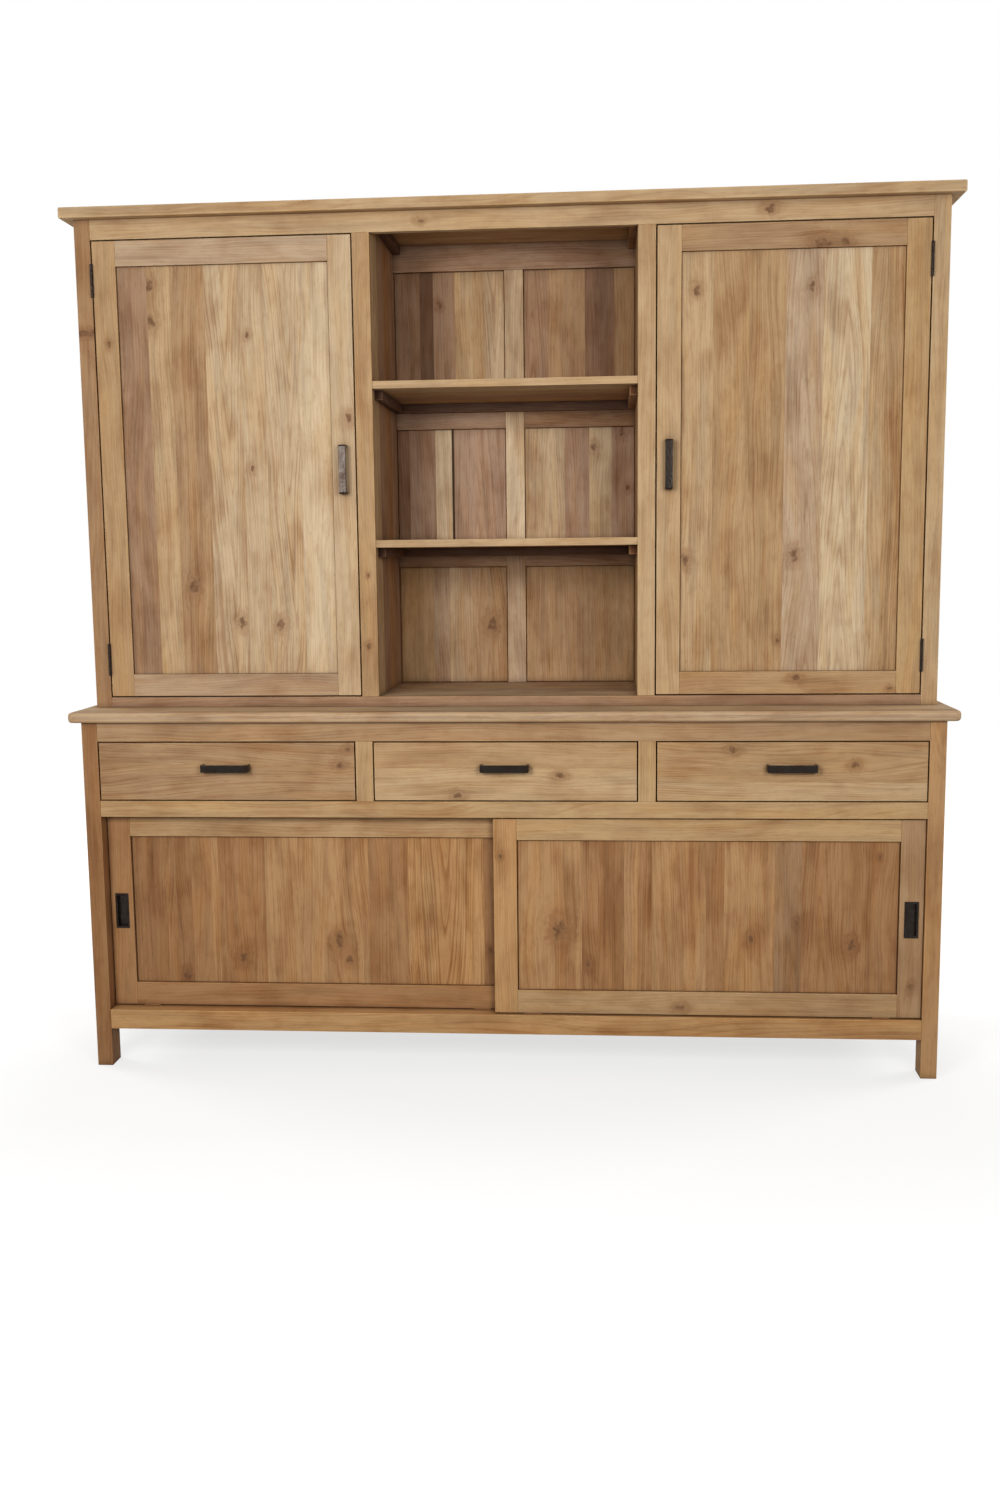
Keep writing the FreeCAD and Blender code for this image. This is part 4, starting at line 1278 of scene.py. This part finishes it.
@dataclass
class FramedDoor(Assembly):
    """A door of two stiles and two rails round a panel of planks.

    Attributes:
        label: The start of its nodes' names.
        planks: The panel's planks from left to right.
        stiles: Wood of the left and the right stile.
        rails: Wood of the bottom and the top rail.
        sunk_line: Width of the groove where the panel meets the stiles and the top rail, in millimetres.
        sunk_sill: Its width along the bottom rail, in millimetres.
        panel_ease: Width of the planks' eased edges, in millimetres.
    """

    label: str
    planks: tuple[Plank, ...]
    stiles: tuple[Timber, Timber]
    rails: tuple[Timber, Timber]
    sunk_line: float = 2.7
    sunk_sill: float = 1.3
    panel_ease: float = 0.3

    def build(self) -> None:
        """Build the door's frame and panel."""
        node, panel = f"{self.label}_frame", f"{self.label}_panel"
        low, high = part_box(node)
        inner_low, inner_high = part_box(panel)
        members = {
            "left_stile": (low.x, inner_low.x, low.z, high.z, self.stiles[0]),
            "right_stile": (inner_high.x, high.x, low.z, high.z, self.stiles[1]),
            "bottom_rail": (inner_low.x, inner_high.x, low.z, inner_low.z, self.rails[0]),
            "top_rail": (inner_low.x, inner_high.x, inner_high.z, high.z, self.rails[1]),
        }
        parts = []
        for member, (left, right, bottom, top, timber) in members.items():
            box = Vector((left, low.y, bottom)), Vector((right, high.y, top))
            parts.append(Board(f"{self.label}_{member}", box, timber).saw(self.shape))
        self.join(node, parts)
        inner = inner_low, inner_high
        border = partial(sink_border, panel=inner, width=self.sunk_line, sill=self.sunk_sill)
        self.join(panel, glue_up(panel, inner, Axis.Z, self.planks, self.panel_ease, border))

    def shape(self, member: bpy.types.Object) -> None:
        """Leave the frame's members square; a sliding door cuts them."""


@dataclass
class HingedDoor(FramedDoor):
    """A door of the hutch, with its strap handle; its hinges keep their CAD shape."""

    sunk_line: float = 1.2
    sunk_sill: float = 0.6

    def build(self) -> None:
        """Build the door and dress its hinge leaves."""
        super().build()
        StrapHandle(self.finishes, f"{self.label}_handle").build()
        leaves = f"{self.label}_hinge_leaves"
        self.dress(leaves, frame["nodes"][leaves])


@dataclass
class SlidingDoor(FramedDoor):
    """A door of the base, which runs on glides under a grooved rail, with its recessed pull."""

    kerf_width: float = 5.0
    kerf_depth: float = 10.0
    mortise_inset: float = 3.2
    mortise_back: float = 0.3

    def build(self) -> None:
        """Build the door, its pull and its glides."""
        super().build()
        RecessedPull(self.finishes, f"{self.label}_pull").build()
        # Painted shade: the glides take a dark tone so that they sink into the shadow under the door
        self.boards(f"{self.label}_glides", (Tone.UMBER,))

    def shape(self, member: bpy.types.Object) -> None:
        """Cut the kerf for the floor's fin, and the mortise for the pull.

        Args:
            member: A stile or rail.
        """
        low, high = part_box(f"{self.label}_frame")
        if member.name.endswith(("stile", "bottom_rail")):
            cut_slot(member, (low, high), (low.y + high.y) / 2, self.kerf_width, self.kerf_depth)
        pull_low, pull_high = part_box(f"{self.label}_pull")
        outer = "left_stile" if pull_low.x < (low.x + high.x) / 2 else "right_stile"
        if member.name.endswith(outer):
            inset = Vector((self.mortise_inset, 0, self.mortise_inset)) * MM
            cut(member, (pull_low + inset, pull_high - inset + Vector((0, self.mortise_back * MM, 0))))


@dataclass
class Drawer(Assembly):
    """A drawer: its front, a box of thin boards and its strap handle.

    Attributes:
        label: The start of its nodes' names.
        planks: The front's boards from the bottom up.
        ease: Width of the front's eased edges, in millimetres.
    """

    label: str
    planks: tuple[Plank, ...]
    ease: float = 0.9

    def build(self) -> None:
        """Build the drawer's front, box and handle."""
        front = f"{self.label}_front"
        self.join(front, glue_up(front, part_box(front), Axis.X, self.planks, self.ease))
        self.boards(f"{self.label}_box", INSIDE_TONES)
        StrapHandle(self.finishes, f"{self.label}_handle").build()


@dataclass(frozen=True)
class Softbox:
    """A soft studio lamp, in metres and watts."""

    name: str
    place: tuple[float, float, float]
    aim: tuple[float, float, float]
    width: float
    height: float
    power: float

    def hang(self) -> None:
        """Hang the lamp and turn it to what it lights."""
        select()
        bpy.ops.object.light_add(type="AREA", location=self.place)
        lamp = bpy.context.object
        lamp.name = self.name
        lamp.data.shape = "RECTANGLE"
        lamp.data.size = self.width
        lamp.data.size_y = self.height
        lamp.data.energy = self.power
        lamp.rotation_euler = (Vector(self.aim) - Vector(self.place)).to_track_quat("-Z", "Y").to_euler()


@dataclass(frozen=True)
class Studio:
    """The white studio: floor, lamps, world and the camera at the photograph's viewing angle.

    Attributes:
        place: Where the camera stands, in metres.
        pitch: Its tilt up, in degrees.
        yaw: Its turn to the right, in degrees.
        roll: Its lean, in degrees.
        lens: Its focal length, in millimetres.
        sensor: The long side that the focal length is for, in millimetres.
        floor_size: Side of the floor, in metres.
        fill: Strength of the world's light.
        floor_glow: How much of the floor's white doesn't come from the lamps, near the cupboard and far out.
        floor_reach: Where the near floor ends and the far floor starts, in metres from the middle.
    """

    place: tuple[float, float, float] = (0.2402, -3.4526, 1.2043)
    pitch: float = -7.742
    yaw: float = -4.453
    roll: float = -0.642
    lens: float = 34.17
    sensor: float = 36.0
    floor_size: float = 24.0
    fill: float = 0.2
    floor_glow: tuple[float, float] = (0.70, 0.95)
    floor_reach: tuple[float, float] = (1.0, 3.2)

    PAPER = "#989898"
    WHITE = "#FFFFFF"
    SOFTBOXES = (
        Softbox("key_lamp", (-1.15, -2.9, 1.75), (-0.1, 0.0, 1.15), 1.0, 1.1, 52.5),
        Softbox("side_lamp", (1.3, -3.0, 1.7), (0.2, 0.0, 1.15), 1.0, 1.1, 39.7),
        Softbox("left_end_lamp", (-3.3, 0.9, 1.7), (-0.9, 0.05, 1.0), 1.2, 1.2, 44.0),
        Softbox("right_end_lamp", (3.3, 0.9, 1.7), (0.9, 0.05, 1.0), 1.2, 1.2, 44.0),
        Softbox("back_lamp", (0.0, 3.5, 1.8), (0.0, 0.3, 1.05), 2.0, 1.2, 80.0),
        Softbox("top_lamp", (0.0, 0.5, 3.6), (0.0, 0.1, 2.0), 2.0, 0.6, 18.0),
    )

    def set_up(self) -> None:
        """Build the studio."""
        self._floor()
        self._world()
        for softbox in self.SOFTBOXES:
            softbox.hang()
        self._camera()
        bpy.context.scene.view_settings.view_transform = "Standard"

    def _seen_white(self, add: AddNode) -> Socket:
        """Tell the rays that see the background from the rays that light the cupboard.

        Args:
            add: Adds a node to the world or the floor.

        Returns:
            1 for camera, glossy and transmission rays, and 0 for the rest.
        """
        path = add("LightPath")
        seen = add("Math", (path["Is Camera Ray"], path["Is Glossy Ray"]), operation="MAXIMUM")[0]
        return add("Math", (seen, path["Is Transmission Ray"]), operation="MAXIMUM")[0]

    def _floor(self) -> None:
        """Lay a pale matt floor that looks white and keeps the cupboard's soft shadow."""
        select()
        bpy.ops.mesh.primitive_plane_add(size=self.floor_size)
        floor = bpy.context.object
        floor.name = "studio_floor"
        material = bpy.data.materials.new("white_paper_floor")
        add = clear_nodes(material)
        paper = add("BsdfDiffuse", {"Color": linear(self.PAPER)})[0]
        away = add("VectorMath", (add("TexCoord")["Object"],), operation="LENGTH")["Value"]
        white = add("MapRange", (away, *self.floor_reach, *self.floor_glow), **SMOOTHLY)[0]
        strength = add("Math", (self._seen_white(add), white), operation="MULTIPLY")[0]
        glow = add("Emission", {"Color": linear(self.WHITE), "Strength": strength})[0]
        add("OutputMaterial", {"Surface": add("AddShader", (paper, glow))[0]})
        floor.data.materials.append(material)

    def _world(self) -> None:
        """Fill the room with soft light in front of a white background."""
        world = bpy.data.worlds.new("white_studio")
        add = clear_nodes(world)
        strength = add("MapRange", (self._seen_white(add), 0.0, 1.0, self.fill, 1.0))[0]
        light = add("Background", {"Color": linear(self.WHITE), "Strength": strength})[0]
        add("OutputWorld", {"Surface": light})
        bpy.context.scene.world = world

    def _camera(self) -> None:
        """Stand the camera where the photograph was taken from."""
        pitch, yaw, roll = map(math.radians, (self.pitch, self.yaw, self.roll))
        ahead = Vector((math.sin(yaw) * math.cos(pitch), math.cos(yaw) * math.cos(pitch), math.sin(pitch)))
        level = Vector((math.cos(yaw), -math.sin(yaw), 0.0))
        upright = level.cross(ahead)
        right = math.cos(roll) * level + math.sin(roll) * upright
        up = math.cos(roll) * upright - math.sin(roll) * level
        select()
        bpy.ops.object.camera_add()
        camera = bpy.context.object
        camera.name = "photo_camera"
        camera.data.lens = self.lens
        camera.data.sensor_width = self.sensor
        axes = Matrix((right, up, -ahead)).transposed().to_4x4()
        camera.matrix_world = Matrix.Translation(self.place) @ axes
        bpy.context.scene.camera = camera


WORKTOP_PLANKS = plank_row(
    (34, Tone.DRIFT), (95, Tone.SAND), (93, Tone.HONEY, Sawn.QUARTER), (98, Tone.ROSE),
    (102, Tone.GOLD, Sawn.FLAT), (95, Tone.HONEY),
)
CORNICE_PLANKS = plank_row(
    (110, Tone.GOLD), (98, Tone.SAND, Sawn.FLAT), (104, Tone.HONEY), (104, Tone.GOLD, Sawn.QUARTER),
)
LEFT_DOOR_PLANKS = plank_row(
    (69, Tone.ROSE, Sawn.RIFT, 0.45),
    (55, Tone.GOLD, Sawn.RIFT, 0.55, (Knot(74, 900, 11), Knot(74, 818, 12))),
    (79, Tone.TAN, Sawn.QUARTER, 0.6, (Knot(156, 211, 13),)),
    (82, Tone.SAND, Sawn.FLAT_DOWN, 0.65, (Knot(269, 121, 11),)),
    (56, Tone.SAND, Sawn.RIFT, 0.45, (Knot(302, 783, 6), Knot(303, 480, 6))),
    (79, Tone.SAND, Sawn.FLAT_DOWN, 0.65, (Knot(360, 115, 11),)),
    (75, Tone.IVORY, Sawn.RIFT, 0.3),
)
RIGHT_DOOR_PLANKS = plank_row(
    (72, Tone.GOLD, Sawn.RIFT, 0.55, (Knot(35, 858, 8), Knot(14, 257, 10))),
    (81, Tone.HONEY),
    (80, Tone.HONEY, Sawn.QUARTER, 0.7, (Knot(224, 72, 5),)),
    (84, Tone.FAWN, Sawn.FLAT, 0.5, (Knot(291, 860, 8), Knot(257, 266, 11))),
    (104, Tone.IVORY, Sawn.FLAT, 0.55),
    (34, Tone.GOLD),
    (40, Tone.HONEY, Sawn.QUARTER, 0.8),
)
LEFT_SLIDER_PLANKS = plank_row(
    (39, Tone.UMBER),
    (42, Tone.UMBER, Sawn.QUARTER, 0.6),
    (24, Tone.BROWN),
    (37, Tone.UMBER, Sawn.RIFT, 0.6, (Knot(124, 17, 10),)),
    (49, Tone.BROWN),
    (17, Tone.CARAMEL),
    (113, Tone.BROWN, Sawn.RIFT, 0.6, (Knot(261, 61, 11),)),
    (80, Tone.CARAMEL, Sawn.QUARTER),
    (168, Tone.CARAMEL, Sawn.FLAT, 0.5, (Knot(497, 107, 13), Knot(520, 60, 8))),
    (93, Tone.BROWN),
    (180, Tone.AMBER, Sawn.FLAT_DOWN, 0.8),
    (30, Tone.UMBER, Sawn.QUARTER),
)
RIGHT_SLIDER_PLANKS = plank_row(
    (150, Tone.CARAMEL, Sawn.RIFT, 0.6, (Knot(99, 144, 18),)),
    (38, Tone.BROWN, Sawn.RIFT, 0.7),
    (60, Tone.BROWN),
    (32, Tone.CARAMEL),
    (32, Tone.BROWN, Sawn.QUARTER, 0.7),
    (124, Tone.CARAMEL, Sawn.RIFT, 0.6),
    (41, Tone.BROWN),
    (116, Tone.CARAMEL, Sawn.RIFT, 0.6),
    (61, Tone.NUT, Sawn.QUARTER, 0.4),
    (136, Tone.BROWN, Sawn.FLAT, 0.6, (Knot(767, 115, 11),)),
    (83, Tone.BROWN),
)
LEFT_DRAWER_BOARDS = plank_row((134, Tone.TAN, Sawn.FLAT, 0.65, (Knot(569, 82, 8), Knot(586, 120, 6))))
MIDDLE_DRAWER_BOARDS = plank_row(
    (75, Tone.GOLD, Sawn.RIFT, 0.6, (Knot(193, 12, 8), Knot(428, 59, 8))),
    (59, Tone.HONEY),
)
RIGHT_DRAWER_BOARDS = plank_row(
    (43, Tone.GOLD, Sawn.RIFT, 0.7),
    (91, Tone.HONEY, Sawn.FLAT, 0.55, (Knot(170, 117, 9), Knot(442, 82, 8))),
)


def door_wood(tone: Tone, *knots: Knot, figure: float = 0.45) -> Timber:
    """Give the wood of a door's stile or rail.

    Args:
        tone: Its colour.
        *knots: Its knots.
        figure: How bold its figure is.

    Returns:
        The wood.
    """
    return Timber(tone, Sawn.RIFT, figure, knots)


def main() -> None:
    """Build the cupboard, then the studio round it."""
    finishes = {finish.slot: finish.material() for finish in FINISHES}
    assemblies = (
        Sideboard(finishes),
        Top(finishes, "worktop", 8.0, 14.0, WORKTOP_PLANKS),
        Hutch(finishes),
        Top(finishes, "cornice", 3.0, 5.0, CORNICE_PLANKS),
        Ends(finishes),
        FramedBack(finishes),
        HingedDoor(
            finishes, "left_door", LEFT_DOOR_PLANKS,
            (door_wood(Tone.HONEY, Knot(31, 821, 6)), door_wood(Tone.SAND, Knot(40, 642, 8))),
            (door_wood(Tone.DRIFT), door_wood(Tone.FAWN)),
        ),
        HingedDoor(
            finishes, "right_door", RIGHT_DOOR_PLANKS,
            (door_wood(Tone.GOLD), door_wood(Tone.STRAW)),
            (
                door_wood(Tone.HONEY, Knot(266, 36, 8), Knot(480, 12, 5), figure=0.5),
                door_wood(Tone.TAN, Knot(312, 6, 13), Knot(360, 10, 8), figure=0.6),
            ),
        ),
        SlidingDoor(
            finishes, "left_slider", LEFT_SLIDER_PLANKS,
            (door_wood(Tone.BROWN), door_wood(Tone.AMBER)),
            (door_wood(Tone.BROWN), door_wood(Tone.HONEY)),
        ),
        SlidingDoor(
            finishes, "right_slider", RIGHT_SLIDER_PLANKS,
            (door_wood(Tone.AMBER, Knot(16, 376, 6), figure=0.6), door_wood(Tone.TAN)),
            (door_wood(Tone.HONEY, Knot(378, 19, 9)), door_wood(Tone.STRAW)),
        ),
        Drawer(finishes, "left_drawer", LEFT_DRAWER_BOARDS),
        Drawer(finishes, "middle_drawer", MIDDLE_DRAWER_BOARDS),
        Drawer(finishes, "right_drawer", RIGHT_DRAWER_BOARDS),
    )
    for assembly in assemblies:
        assembly.build()
    Studio().set_up()


if __name__ == "__main__":
    main()
